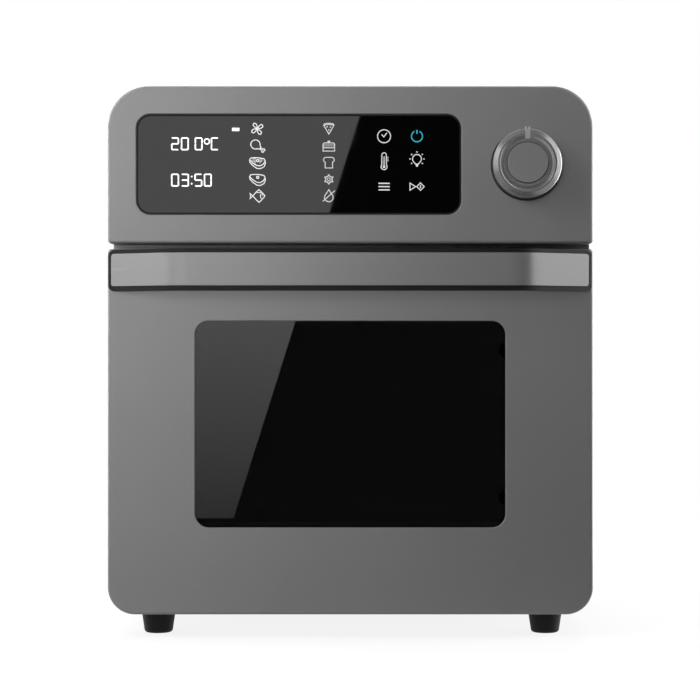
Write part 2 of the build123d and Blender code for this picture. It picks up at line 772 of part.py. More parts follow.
def display_glass():
    glass = slab(display_ring(GASKET_WIDTH), GLASS_FRONT, GLASS_BACK)
    front = glass.faces().sort_by(Axis.Y)[0]
    return chamfer(front.edges(), 0.4)


def display_module():
    """Light guide and digit carrier behind the glass."""
    return slab(rounded(206.0, 58.0, 4.0, DISPLAY_X, DISPLAY_Z), GLASS_BACK, MODULE_BACK)


def control_board():
    """Board behind the display, with its processor, driver, connector and sounder."""
    back = MODULE_BACK + BOARD_SHEET
    board = slab(rounded(228.0, 78.0, 3.0, DISPLAY_X, DISPLAY_Z), MODULE_BACK, back)
    for x, z, width, height, thick in (
        (-80.0, 325.0, 16.0, 16.0, 1.8),
        (-20.0, 330.0, 10.0, 10.0, 1.5),
        (20.0, 310.0, 22.0, 8.0, 7.0),
        (-120.0, 305.0, 12.0, 10.0, 6.0),
    ):
        board += slab(Pos(x, z) * Rectangle(width, height), back, back + thick)
    return board


def power_board():
    """Mains board on the heat shield, with its relay, transformer, filter and two capacitors."""
    shield_top = SHIELD_LOW + SHEET
    low, top = shield_top + 6.0, shield_top + 6.0 + BOARD_SHEET
    board = block((50.0, 115.0), (196.0, 250.0), (low, top))
    for x in (55.0, 110.0):
        for depth in (200.0, 246.0):
            board += rod_z(2.5, shield_top, low, x, depth)
    for x, depth, height in (
        ((56.0, 76.0), (205.0, 220.0), 15.4),
        ((84.0, 108.0), (204.0, 224.0), 18.4),
        ((92.0, 110.0), (232.0, 242.0), 8.4),
    ):
        board += block(x, depth, (top, top + height))
    for radius, x, depth, height in ((6.5, 66.0, 236.0, 19.4), (4.0, 84.0, 238.0, 11.4)):
        board += rod_z(radius, top, top + height, x, depth)
    return board


def encoder_body():
    """Rotary encoder's case behind the fascia, with its threaded neck."""
    body = slab(Pos(KNOB_X, KNOB_Z) * Rectangle(ENCODER_SIZE, ENCODER_SIZE), FASCIA_WALL, FASCIA_WALL + 9.0)
    body += slab(disc(ENCODER_NECK, KNOB_X, KNOB_Z), -ENCODER_NECK_OUT, FASCIA_WALL)
    bore = disc(SHAFT_RADIUS + RUNNING_GAP, KNOB_X, KNOB_Z)
    return body - slab(bore, -ENCODER_NECK_OUT, FASCIA_WALL + 7.5)


# Dial, as radii and as distances out from the fascia

BASE_RING_RADIUS = 24.0
BASE_RING_OUT = 1.6
SHAFT_OUT = 17.0
SKIRT_RADIUS = 23.0
SKIRT_WALL = 1.4
SKIRT_FOOT = 2.2
SKIRT_TOP = 17.4
CONE_RADIUS = 19.7
CONE_OUT = 20.0
LEDGE_RADIUS = 19.2
DISH_RADIUS = 18.6
DISH_TOP = 20.6
DISH_FOOT = 19.4
GROOVE_RADII = (15.9, 16.5)
GROOVE_OUT = 18.8
LIP_RADIUS = 14.0
LIP_OUT = 21.6
CAP_RADIUS = 13.5
HUB_RADIUS = 16.4
HUB_SEAT = 18.0
CAP_OUT = 22.0
POINTER_LOW = 15.9
POINTER_HIGH = 24.0
POINTER_WIDTH = 3.3
POINTER_OUT = 22.9
POINTER_BACK = 11.5


def knob_base_ring():
    rim = [(BASE_RING_RADIUS, 0), (BASE_RING_RADIUS, 1.2), (BASE_RING_RADIUS - 0.4, BASE_RING_OUT)]
    return lathe_front([(NECK_HOLE, 0)] + rim + [(NECK_HOLE, BASE_RING_OUT)], KNOB_X, KNOB_Z)


def encoder_shaft():
    return slab(disc(SHAFT_RADIUS, KNOB_X, KNOB_Z), -SHAFT_OUT, FASCIA_WALL + 7.0)


def knob_core():
    """Moulded hub that grips the shaft and carries the metal ring."""
    foot, sleeve = BASE_RING_OUT + 1.8, 7.0
    outside = [(SHAFT_RADIUS, foot), (sleeve, foot), (sleeve, 16.0)]
    head = [(HUB_RADIUS, 17.2), (HUB_RADIUS, HUB_SEAT), (0, HUB_SEAT)]
    inside = [(0, SHAFT_OUT), (SHAFT_RADIUS, SHAFT_OUT)]
    hub = lathe_front(outside + head + inside, KNOB_X, KNOB_Z)
    rib = Pos(9.5, -12.0, 0) * Box(6.0, 11.0, 1.4)
    for turn in range(0, 360, 60):
        hub += Pos(KNOB_X, FRONT_Y, KNOB_Z) * Rot(0, turn, 0) * rib
    return hub


def knob_ring():
    """Turned metal ring: skirt, outer cone, ledge, dished bevel, groove and inner lip."""
    bore = SKIRT_RADIUS - SKIRT_WALL
    groove_in, groove_out = GROOVE_RADII
    skirt = [(bore, SKIRT_FOOT), (SKIRT_RADIUS, SKIRT_FOOT), (SKIRT_RADIUS, SKIRT_TOP - 0.5)]
    cone = [(SKIRT_RADIUS - 0.4, SKIRT_TOP), (CONE_RADIUS, CONE_OUT), (LEDGE_RADIUS, CONE_OUT)]
    dish = [(LEDGE_RADIUS, DISH_TOP), (DISH_RADIUS, DISH_TOP), (groove_out, DISH_FOOT)]
    groove = [(groove_out, GROOVE_OUT), (groove_in, GROOVE_OUT)]
    lip = [(groove_in, LIP_OUT), (LIP_RADIUS, LIP_OUT), (LIP_RADIUS, HUB_SEAT)]
    under = [(17.0, HUB_SEAT), (19.0, 14.4), (bore, 13.2)]
    return lathe_front(skirt + cone + dish + groove + lip + under, KNOB_X, KNOB_Z) - pointer_block()


def pointer_block():
    """Rib across the ring's top that shows where the dial stands."""
    low, high = KNOB_Z + POINTER_LOW, KNOB_Z + POINTER_HIGH
    front = [(-POINTER_OUT, low), (-POINTER_OUT, high - 0.4), (0.4 - POINTER_OUT, high)]
    back = [(-POINTER_BACK, high), (-POINTER_BACK, high - 2.0), (-GROOVE_OUT, low)]
    return crosswise(polygon(front + back), KNOB_X - POINTER_WIDTH / 2, KNOB_X + POINTER_WIDTH / 2)


def knob_pointer():
    """The rib, with a short groove cut in its tip."""
    groove_z = (KNOB_Z + POINTER_HIGH - 1.6, KNOB_Z + POINTER_HIGH + 1.0)
    groove = block((KNOB_X - 0.7, KNOB_X + 0.7), (-POINTER_OUT, -POINTER_BACK), groove_z)
    return pointer_block() - groove


def knob_cap():
    rim = [(CAP_RADIUS, HUB_SEAT), (CAP_RADIUS, CAP_OUT - 0.3), (CAP_RADIUS - 0.3, CAP_OUT)]
    return lathe_front([(0, HUB_SEAT)] + rim + [(0, CAP_OUT)], KNOB_X, KNOB_Z)


# Door

PAN_LOW = 23.5
CUT_START = 15.5
HINGE_SLOT = (146.9, 152.1)


def lower_cut():
    """Clears the door's lower rear edge for its swing about the hinge."""
    back = 2 * PAN_BACK
    slope = [(CUT_START, BODY_BOTTOM), (PAN_BACK, PAN_LOW)]
    edge = polygon(slope + [(back, PAN_LOW), (back, 0), (CUT_START, 0)])
    return crosswise(edge, -WIDTH, WIDTH)


def door_outer_panel():
    """Painted steel front of the door, folded back at its edges and open at the window."""
    outline = panel(WIDTH, BODY_BOTTOM, DOOR_TOP, MEETING_RADIUS, BOTTOM_RADIUS)
    door = round_front(slab(outline, 0, PAN_BACK), EDGE_ROUND)
    inside_width = WIDTH - 2 * DOOR_WALL
    inside_low, inside_high = BODY_BOTTOM + DOOR_WALL, DOOR_TOP - DOOR_WALL
    inside = panel(inside_width, inside_low, inside_high, 1.0, BOTTOM_RADIUS - DOOR_WALL)
    door -= slab(inside, DOOR_WALL, PAN_BACK)
    door -= slab(rounded(WINDOW_WIDTH, WINDOW_HIGH - WINDOW_LOW, WINDOW_RADIUS, 0, WINDOW_Z), 0, DOOR_WALL)
    door = chamfer_opening(door, OPENING_CHAMFER)
    door -= lower_cut()
    for side in SIDES:
        door -= block(mirrored(HINGE_SLOT, side), (5.5, PAN_BACK), (BODY_BOTTOM - 1.0, 20.5))
        door -= slab(disc(SCREW_RADIUS, *handle_screw_place(side)), 0, DOOR_WALL)
    return door


def pan_outline(inset):
    half = WIDTH / 2 - DOOR_WALL - TOUCH
    high = DOOR_TOP - DOOR_WALL - TOUCH - inset
    return panel(2 * (half - inset), PAN_LOW + inset, high, 0.9, 10.0 - inset)


def door_inner_frame():
    """Folded pan that closes the door's back and carries both panes."""
    face_front = PAN_BACK - PAN_SHEET
    pan = slab(pan_outline(0), DOOR_WALL, PAN_BACK) - slab(pan_outline(PAN_SHEET), DOOR_WALL, face_front)
    pan -= slab(rounded(190.0, 106.0, 12.0, 0, 147.0), face_front, PAN_BACK)
    for side in SIDES:
        pan -= block(mirrored((142.0, 157.0), side), (DOOR_WALL, PAN_BACK), (20.0, 40.0))
        pan -= slab(rounded(2.8, 10.4, 0.5, side * STAY_MIDDLE, 116.6), face_front, PAN_BACK)
    return pan


def door_outer_glass():
    return slab(rounded(237.0, 167.0, 6.0, 0, WINDOW_Z), DOOR_WALL, DOOR_WALL + OUTER_GLASS)


def door_inner_glass():
    back = PAN_BACK - PAN_SHEET
    return slab(rounded(224.0, 134.0, 5.0, 0, WINDOW_Z), back - INNER_GLASS, back)


def glass_clamps():
    """Four round posts that press the panes apart against the panel and the pan."""
    posts = Part()
    front, back = DOOR_WALL + OUTER_GLASS, PAN_BACK - PAN_SHEET - INNER_GLASS
    for side in SIDES:
        for z in CLAMP_Z:
            posts += slab(disc(CLAMP_RADIUS, side * CLAMP_X, z), front, back)
    return posts


def door_gasket():
    """Silicone seal round the cavity's mouth, with a raised lip."""
    middle = (CAVITY_LOW + CAVITY_HIGH) / 2
    base = rounded(266.0, 228.0, 19.0, 0, middle) - rounded(252.0, 214.0, 13.0, 0, middle)
    lip = rounded(262.0, 224.0, 17.0, 0, middle) - rounded(256.0, 218.0, 15.0, 0, middle)
    return slab(base, PAN_BACK, PAN_BACK + 1.0) + slab(lip, PAN_BACK + 1.0, PAN_BACK + 1.8)


def hinge_sketch(radius):
    return Pos(HINGE_DEPTH, HINGE_Z) * Circle(radius)


def frame_hinges():
    """Fixed ears that reach forward through the frame, with a plate behind it."""
    ears = Part()
    arm = Pos((HINGE_DEPTH + FRAME_BACK) / 2, HINGE_Z) * Rectangle(FRAME_BACK - HINGE_DEPTH, 2 * EYE_RADIUS)
    profile = hinge_sketch(EYE_RADIUS) + arm - hinge_sketch(HINGE_PIN_RADIUS + RUNNING_GAP)
    for side in SIDES:
        ears += crosswise(profile, *mirrored(EAR_X, side))
        ears += block(mirrored((144.0, 155.0), side), (FRAME_BACK, FRAME_BACK + 1.5), (22.5, 52.0))
    return ears


def door_hinges():
    """Channel brackets inside the door, each with its pin."""
    pair = Part()
    left, right = CHANNEL_X
    cheek = Pos(7.75, 41.5) * Rectangle(8.5, 37.0) + Pos(7.75, HINGE_Z) * Rectangle(8.5, 11.0)
    cheek += hinge_sketch(EYE_RADIUS)
    for side in SIDES:
        for x in ((left, left + CHEEK_SHEET), (right - CHEEK_SHEET, right)):
            pair += crosswise(cheek, *mirrored(x, side))
        pair += block(mirrored(CHANNEL_X, side), (DOOR_WALL, DOOR_WALL + 2.0), (21.5, 60.0))
        pair += rod_x(HINGE_PIN_RADIUS, *mirrored(CHANNEL_X, side), HINGE_DEPTH, HINGE_Z)
    return pair


def stay_outline():
    """Arc about the hinge line, from its stop end inside the cabinet up to the door."""
    centre = (HINGE_DEPTH, HINGE_Z)
    span = STAY_TOP - STAY_END
    inner = CenterArc(centre, STAY_RADIUS - STAY_WIDTH / 2, STAY_END, span)
    outer = CenterArc(centre, STAY_RADIUS + STAY_WIDTH / 2, STAY_END, span)
    return make_face([inner, outer, Line(inner @ 0, outer @ 0), Line(inner @ 1, outer @ 1)])


def door_stay(side):
    """Curved arm that slides through the frame and stops the door when it is down."""
    stay = crosswise(stay_outline(), *mirrored(STAY_X, side))
    foot_x = mirrored((STAY_MIDDLE - 4.0, STAY_MIDDLE + 4.0), side)
    face_front = PAN_BACK - PAN_SHEET
    stay += block(foot_x, (face_front - 2.0, face_front), (104.0, 129.0))
    stop_depth, stop_z = polar(STAY_RADIUS, STOP_ANGLE)
    return stay + rod_x(STOP_PIN_RADIUS, *foot_x, HINGE_DEPTH + stop_depth, HINGE_Z + stop_z)


def door_switch_body():
    body = block((SWITCH_X - 5.0, SWITCH_X + 5.0), (FRAME_BACK, 45.0), (SWITCH_Z - 8.0, SWITCH_Z + 8.0))
    return body - slab(disc(SWITCH_HOLE, SWITCH_X, SWITCH_Z), FRAME_BACK, 34.0)


def switch_plunger():
    """Pin that the closed door's pan pushes in."""
    tip, foot, radius = -PAN_BACK - 0.3, -32.0, 2.0
    pin = [(0, foot), (radius, foot), (radius, tip - 0.9), (1.4, tip - 0.1), (0, tip)]
    return lathe_front(pin, SWITCH_X, SWITCH_Z)


# Handle

def bar_points(inset):
    """Ends and corners of the handle's front line in plan, from left to right, some way under its surface."""
    lean = radians(HANDLE_LEAN)
    end = (HANDLE_END_X - inset * sin(lean), HANDLE_END_OUT - inset * cos(lean))
    corner = (HANDLE_CORNER_X - inset * tan(lean / 2), HANDLE_REACH - inset)
    half = [end, corner]
    return [(-x, FRONT_Y - out) for x, out in half] + [(x, FRONT_Y - out) for x, out in reversed(half)]


def bar_area(inset, end_x, end_radius):
    """Plan area between the bar's line and the door, out to an end."""
    corner_x = HANDLE_CORNER_X - inset * tan(radians(HANDLE_LEAN) / 2)
    top = HANDLE_REACH - inset
    end_out = top - (end_x - corner_x) * tan(radians(HANDLE_LEAN))
    half = [(end_x, 0.0), (end_x, end_out), (corner_x, top)]
    points = [(-x, FRONT_Y - out) for x, out in half] + [(x, FRONT_Y - out) for x, out in reversed(half)]
    bend = HANDLE_BEND - inset
    path = FilletPolyline(*points, radius=[end_radius, bend, bend, end_radius])
    return make_face([path, Line(points[-1], points[0])])


def finger_gap():
    corner_x = HANDLE_CORNER_X - GRIP_BACK * tan(radians(HANDLE_LEAN) / 2)
    top = HANDLE_REACH - GRIP_BACK
    foot_x = corner_x + top / tan(radians(HANDLE_LEAN))
    half = [(foot_x, 0.0), (corner_x, top)]
    points = [(-x, FRONT_Y - out) for x, out in half] + [(x, FRONT_Y - out) for x, out in reversed(half)]
    path = FilletPolyline(*points, radius=HANDLE_BEND - GRIP_BACK)
    return make_face([path, Line(points[-1], points[0])])


def handle_screw_place(side):
    return side * HANDLE_SCREW_X, (FACE_LOW + FACE_HIGH) / 2


def bent_plate(depth, end_x, low, high, corner):
    """Plate that follows the handle's front line, some way deep, with rounded corners in front view."""
    outer = FilletPolyline(*bar_points(0), radius=HANDLE_BEND)
    inner = FilletPolyline(*bar_points(depth), radius=HANDLE_BEND - depth)
    plan = make_face([outer, inner, Line(outer @ 0, inner @ 0), Line(outer @ 1, inner @ 1)])
    front = rounded(2 * end_x, high - low, corner, 0, (low + high) / 2)
    return upright(plan, low, high) & slab(front, -2 * HANDLE_REACH, 0)


def handle_face():
    """Bent metal plate on the front of the handle."""
    return bent_plate(FACE_SHEET, HANDLE_END_X, FACE_LOW, FACE_HIGH, FACE_CORNER)


def face_groove():
    """Narrow channel that sets the plate off from the bar, above and below it."""
    low, high = FACE_LOW - GRIP_GROOVE, FACE_HIGH + GRIP_GROOVE
    return bent_plate(GRIP_INSET + GRIP_GROOVE_DEPTH, HANDLE_END_X, low, high, FACE_CORNER)


def handle_grip():
    """Black moulded bar that bends back to the door at both ends."""
    bar = upright(bar_area(GRIP_INSET, GRIP_END_X, GRIP_END_ROUND) - finger_gap(), GRIP_LOW, GRIP_HIGH)
    height = GRIP_HIGH - GRIP_LOW
    front = rounded(2 * GRIP_END_X, height, GRIP_CORNER, 0, GRIP_LOW + height / 2)
    bar &= slab(front, -2 * HANDLE_REACH, 0)
    bar -= handle_face()
    bar -= face_groove()
    for side in SIDES:
        bar -= slab(disc(SCREW_RADIUS, *handle_screw_place(side)), DOOR_WALL - HANDLE_SCREW - 0.2, 0)
    return bar


def handle_screws():
    pair = Part()
    for side in SIDES:
        x, z = handle_screw_place(side)
        pair += Pos(x, FRONT_Y + DOOR_WALL, z) * Rot(90, 0, 0) * screw(HANDLE_SCREW)
    return pair


# Trays

def tray_floor():
    inset = 2 * (TRAY_RIM - SHEET)
    return RectangleRounded(2 * TRAY_HALF - inset, TRAY_BACK - TRAY_FRONT - inset, 7.0)


def tray_shell(level, height, floor):
    """Open tray on the ledges of one level, with its floor outline given."""
    low = level + TRAY_REST_GAP
    plan = Pos(0, FRONT_Y + (TRAY_FRONT + TRAY_BACK) / 2)
    width, depth = 2 * TRAY_HALF, TRAY_BACK - TRAY_FRONT
    inside = RectangleRounded(width - 2 * TRAY_RIM, depth - 2 * TRAY_RIM, 6.0)
    rim = plan * (RectangleRounded(width, depth, 9.0) - inside)
    wall = plan * (tray_floor() - inside)
    tray = upright(rim, low + height - SHEET, low + height)
    tray += upright(wall, low, low + height)
    return tray + upright(plan * floor, low, low + SHEET)


def drip_tray():
    return tray_shell(GUIDE_LEVELS[0], DRIP_TRAY_HEIGHT, tray_floor())


def mesh_tray():
    """Air frying basket tray: an open mesh floor in a raised rim."""
    hole = RectangleRounded(MESH_HOLE, MESH_HOLE, 2.0)
    holes = [place * hole for place in GridLocations(*MESH_PITCH, *MESH_COUNT)]
    return tray_shell(GUIDE_LEVELS[1], MESH_TRAY_HEIGHT, tray_floor() - holes)


def all_parts():
    """Every piece by its node name."""
    makers = (
        outer_cover, base_panel, rear_panel, rear_spacers, cord_gland, m4_screws, front_frame,
        cavity_liner, cavity_back, fan_housing, air_grille, heating_element, convection_impeller,
        cooling_impeller, motor_shaft, heat_shield, motor_bracket, fan_motor, rotisserie_motor,
        spit_socket, spit_bracket, lamp_housing, lamp_bulb, lamp_glass, temperature_probe,
        thermal_cutout, control_fascia, display_gasket, display_glass, display_module, control_board,
        power_board, encoder_body, knob_base_ring, encoder_shaft, knob_core, knob_ring, knob_pointer,
        knob_cap, door_outer_panel, door_inner_frame, door_outer_glass, door_inner_glass, glass_clamps,
        door_gasket, frame_hinges, door_hinges, door_switch_body, switch_plunger, handle_face,
        handle_grip, handle_screws, drip_tray, mesh_tray,
    )
    parts = {maker.__name__: maker() for maker in makers}
    for name, depth in FOOT_DEPTHS.items():
        parts[name] = feet(depth)
    for word, side in (("left", -1), ("right", 1)):
        parts["rack_guide_" + word] = rack_guide(side)
        parts["door_stay_" + word] = door_stay(side)
    return parts


os.makedirs("parts", exist_ok=True)
for node, shape in all_parts().items():
    export_step(shape, "parts/" + node + ".step")
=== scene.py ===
import json
import math

import bmesh
import bpy
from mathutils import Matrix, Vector


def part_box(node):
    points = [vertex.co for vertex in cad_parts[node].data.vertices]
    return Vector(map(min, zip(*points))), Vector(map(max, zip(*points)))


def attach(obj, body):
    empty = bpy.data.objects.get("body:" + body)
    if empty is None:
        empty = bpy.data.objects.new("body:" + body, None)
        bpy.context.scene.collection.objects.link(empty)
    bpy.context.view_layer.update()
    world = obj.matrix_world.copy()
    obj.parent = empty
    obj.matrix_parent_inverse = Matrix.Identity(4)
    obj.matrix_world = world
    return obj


# Looks of a countertop air fryer oven. Metres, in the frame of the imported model: -Y to the user, +Z up.

MM = 0.001

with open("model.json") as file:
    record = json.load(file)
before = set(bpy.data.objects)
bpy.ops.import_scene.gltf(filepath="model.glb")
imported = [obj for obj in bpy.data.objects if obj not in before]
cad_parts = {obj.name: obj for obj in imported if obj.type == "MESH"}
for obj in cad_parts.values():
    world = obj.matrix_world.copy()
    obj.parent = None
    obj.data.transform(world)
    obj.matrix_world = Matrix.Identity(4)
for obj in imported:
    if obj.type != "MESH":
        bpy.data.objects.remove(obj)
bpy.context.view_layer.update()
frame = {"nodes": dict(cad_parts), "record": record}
NODES = frame["nodes"]

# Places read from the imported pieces
FRONT_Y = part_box("door_outer_panel")[0].y
GLASS_LOW, GLASS_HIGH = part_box("display_glass")
GLASS_CENTRE = (GLASS_LOW + GLASS_HIGH) / 2
DIAL_LOW, DIAL_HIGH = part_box("knob_cap")
DIAL_CENTRE = (DIAL_LOW + DIAL_HIGH) / 2
DIAL_AXIS = 1

# Camera: square to the front and a little to the right of the middle
CAMERA_DISTANCE = 1.5
CAMERA_X = 45 * MM
CAMERA_Z = 194.7 * MM
VIEW_WIDTH = 472.5 * MM
VIEW_CENTRE_X = -0.2 * MM
SENSOR = 36.0


# Shader nodes

# Noise lies mostly between these two values
NOISE_LOW, NOISE_HIGH = 0.3, 0.7

ALL_WAYS = (1, 1, 1)


class Tree:
    """A node tree with short calls for the nodes used here."""

    def __init__(self, tree):
        self.tree = tree

    def add(self, kind, **settings):
        node = self.tree.nodes.new(kind)
        for key, value in settings.items():
            setattr(node, key, value)
        return node

    def put(self, socket, value):
        """A number, a colour or another node's output into an input."""
        if isinstance(value, bpy.types.NodeSocket):
            self.tree.links.new(value, socket)
        else:
            socket.default_value = value

    def make(self, kind, inputs, **settings):
        """A node with these inputs, each under its name or number."""
        node = self.add(kind, **settings)
        for key, value in inputs.items():
            self.put(node.inputs[key], value)
        return node

    def math(self, operation, a, b=0.0):
        return self.make("ShaderNodeMath", {0: a, 1: b}, operation=operation).outputs[0]

    def span(self, value, low, high, source_low=0.0, source_high=1.0, curve="LINEAR"):
        """A value moved from its source range to another, and held inside it."""
        source = {"Value": value, "From Min": source_low, "From Max": source_high}
        target = {"To Min": low, "To Max": high}
        node = self.make("ShaderNodeMapRange", {**source, **target}, interpolation_type=curve)
        return node.outputs["Result"]

    def level(self, noise, low=0.0, high=1.0):
        """Noise spread over a whole range."""
        return self.span(noise, low, high, NOISE_LOW, NOISE_HIGH)

    def choose(self, factor, first, second):
        """Number between two numbers."""
        return self.make("ShaderNodeMix", {0: factor, 2: first, 3: second}).outputs[0]

    def vector(self, operation, *vectors):
        return self.make("ShaderNodeVectorMath", dict(enumerate(vectors)), operation=operation)

    def length(self, vector):
        return self.vector("LENGTH", vector).outputs["Value"]

    def along(self, vector, axis):
        """One coordinate of a vector."""
        return self.make("ShaderNodeSeparateXYZ", {0: vector}).outputs[axis]

    def object_place(self):
        return self.add("ShaderNodeTexCoord").outputs["Object"]


class Shader(Tree):
    """A new material's surface. Its textures follow the object's own space."""

    def __init__(self, name):
        self.material = bpy.data.materials.new(name)
        self.material.use_nodes = True
        super().__init__(self.material.node_tree)
        self.surface = self.tree.nodes["Principled BSDF"]
        self.place = self.object_place()

    def set(self, **inputs):
        """Inputs of the surface, with underscores for the spaces in their names."""
        for key, value in inputs.items():
            self.put(self.surface.inputs[key.replace("_", " ")], value)

    def stretched(self, scale, turn=(0, 0, 0)):
        inputs = {"Scale": scale, "Rotation": turn, "Vector": self.place}
        return self.make("ShaderNodeMapping", inputs).outputs["Vector"]

    def noise(self, size, detail=3.0, vector=None):
        """Noise with features of about this size in metres, or of 1 in the units of a given vector."""
        inputs = {"Scale": 1.0 / size, "Detail": detail, "Roughness": 0.55, "Vector": vector or self.place}
        return self.make("ShaderNodeTexNoise", inputs).outputs["Fac"]

    def cells(self, size, output="Distance", vector=None):
        inputs = {"Scale": 1.0 / size, "Vector": vector or self.place}
        return self.make("ShaderNodeTexVoronoi", inputs).outputs[output]

    def specks(self, size, share):
        """1 on small dots, one in each cell of this size."""
        return self.math("LESS_THAN", self.cells(size), share)

    def both(self, first, share, second):
        """Sum of two values, with the first one's share of the whole."""
        rest = self.math("MULTIPLY", second, 1 - share)
        return self.math("ADD", self.math("MULTIPLY", first, share), rest)

    def blend(self, factor, first, second, way="MIX"):
        """Colour between two colours, or their sum."""
        inputs = {0: factor, 6: as_colour(first), 7: as_colour(second)}
        return self.make("ShaderNodeMix", inputs, data_type="RGBA", blend_type=way).outputs[2]

    def bump(self, height, depth, strength, under=None):
        inputs = {"Strength": strength, "Distance": depth, "Height": height}
        if under is not None:
            inputs["Normal"] = under
        return self.make("ShaderNodeBump", inputs).outputs["Normal"]

    def radius_about(self, centre, axis):
        """Distance from a line through a point along one axis."""
        offset = self.vector("SUBTRACT", self.place, centre)
        square_to_axis = [0.0 if index == axis else 1.0 for index in range(3)]
        return self.length(self.vector("MULTIPLY", offset.outputs[0], square_to_axis).outputs[0])

    def warped(self, size):
        """The object's place pushed about by noise, so that cells lose their straight edges."""
        push = self.make("ShaderNodeTexNoise", {"Scale": 1.0 / size, "Vector": self.place})
        inputs = {0: push.outputs["Color"], "Scale": 0.6 * size}
        scaled = self.make("ShaderNodeVectorMath", inputs, operation="SCALE")
        return self.vector("ADD", self.place, scaled.outputs[0]).outputs[0]


def as_colour(value):
    if isinstance(value, bpy.types.NodeSocket):
        return value
    return (*value, 1.0)


def shades(colour, spread):
    """A darker and a lighter colour around one."""
    return [c * (1 - spread) for c in colour], [c * (1 + spread) for c in colour]


def grey(value):
    return (value, value, value)


BLACK = grey(0.0)


# Materials

def painted(name, colour, rough, metallic):
    """Satin baked paint: fine flake, faint clouding and a slight orange peel."""
    flake_size, peel_size, cloud_size = 0.35 * MM, 1.6 * MM, 60 * MM
    flake_depth, peel_depth = 0.004 * MM, 0.006 * MM
    s = Shader(name)
    flake = s.noise(flake_size, detail=1.0)
    speck = s.both(flake, 0.7, s.noise(cloud_size, detail=2.0))
    s.set(Base_Color=s.blend(s.level(speck), *shades(colour, spread=0.07)))
    s.set(Roughness=s.level(speck, rough - 0.04, rough + 0.05), Metallic=metallic)
    peel = s.bump(s.noise(peel_size, detail=1.0), peel_depth, strength=0.5)
    s.set(Normal=s.bump(flake, flake_depth, strength=0.5, under=peel))
    return s.material


def moulded(name, colour, rough, grain=0.45 * MM, shine=0.5):
    """Moulded plastic or rubber with a spark-eroded grain."""
    grain_depth, cloud_size = 0.02 * MM, 25 * MM
    s = Shader(name)
    cloud = s.noise(cloud_size)
    s.set(Base_Color=s.blend(cloud, *shades(colour, spread=0.18)), Specular_IOR_Level=shine)
    s.set(Roughness=s.span(cloud, rough - 0.06, rough + 0.08))
    swell = s.bump(s.noise(2.5 * grain), grain_depth, strength=0.4)
    s.set(Normal=s.bump(s.cells(grain), grain_depth, strength=0.8, under=swell))
    return s.material


def brushed(name, colour, along, rough, metallic=1.0, contrast=0.12, depth=0.004 * MM, varies=ALL_WAYS):
    """Metal brushed along one axis, with hair lines that stay the same in some directions."""
    line_length, line_width, lines_in_band = 28 * MM, 0.16 * MM, 14
    s = Shader(name)
    scale = [1 / line_length if step else 1 / line_width for step in along]
    scale = [v if varied else 0.0 for varied, v in zip(varies, scale)]
    hair = s.noise(1.0, detail=2.0, vector=s.stretched(scale))
    band = s.noise(1.0, detail=1.0, vector=s.stretched([v / lines_in_band for v in scale]))
    mixed = s.both(hair, 0.65, band)
    even = s.level(mixed)
    spread = 0.4 * contrast
    s.set(Base_Color=s.blend(even, *shades(colour, contrast)), Metallic=metallic)
    s.set(Roughness=s.span(even, rough + spread, rough - spread))
    s.set(Normal=s.bump(mixed, depth, strength=0.6))
    return s.material


def turned(name, colour, centre, axis, rough, metallic):
    """Metal turned on a lathe: fine rings about an axis, and light that fans out from the middle."""
    ring_pitch, ring_depth = 0.14 * MM, 0.003 * MM
    s = Shader(name)
    radius = s.math("DIVIDE", s.radius_about(centre, axis), ring_pitch)
    inputs = {"Scale": 1.0, "Detail": 2.0, "W": radius}
    cuts = s.make("ShaderNodeTexNoise", inputs, noise_dimensions="1D").outputs["Fac"]
    rings = s.level(cuts)
    tangent = s.add("ShaderNodeTangent", direction_type="RADIAL", axis="XYZ"[axis])
    s.set(Base_Color=s.blend(rings, *shades(colour, spread=0.1)), Metallic=metallic)
    s.set(Roughness=s.level(cuts, rough - 0.03, rough + 0.05), Anisotropic=0.4)
    s.set(Tangent=tangent.outputs["Tangent"], Normal=s.bump(cuts, ring_depth, strength=0.5))
    return s.material


def galvanised(name, colour, rough):
    """Zinc-coated sheet with its crystal spangle."""
    crystal_size, stain_size, grain_size, grain_depth = 7 * MM, 40 * MM, 0.8 * MM, 0.006 * MM
    s = Shader(name)
    crystal = s.cells(crystal_size, output="Color", vector=s.warped(crystal_size))
    shade = s.make("ShaderNodeSeparateColor", {0: crystal}).outputs
    tone = s.both(shade[0], 0.6, s.noise(stain_size, detail=4.0))
    s.set(Base_Color=s.blend(tone, *shades(colour, spread=0.16)), Metallic=0.85)
    s.set(Roughness=s.span(shade[1], rough - 0.1, rough + 0.1))
    s.set(Normal=s.bump(s.noise(grain_size), grain_depth, strength=0.5))
    return s.material


def bright_steel(name, colour):
    """Plated steel with light scuffs."""
    scuff_scale, scuff_turn, scuff_depth = (90.0, 400.0, 900.0), (0.4, 0.7, 0.2), 0.002 * MM
    s = Shader(name)
    scuff = s.noise(1.0, detail=4.0, vector=s.stretched(scuff_scale, scuff_turn))
    s.set(Base_Color=s.blend(s.noise(18 * MM), *shades(colour, spread=0.06)), Metallic=1.0)
    s.set(Roughness=s.span(scuff, 0.14, 0.34, source_low=0.35, source_high=0.75))
    s.set(Normal=s.bump(scuff, scuff_depth, strength=0.4))
    return s.material


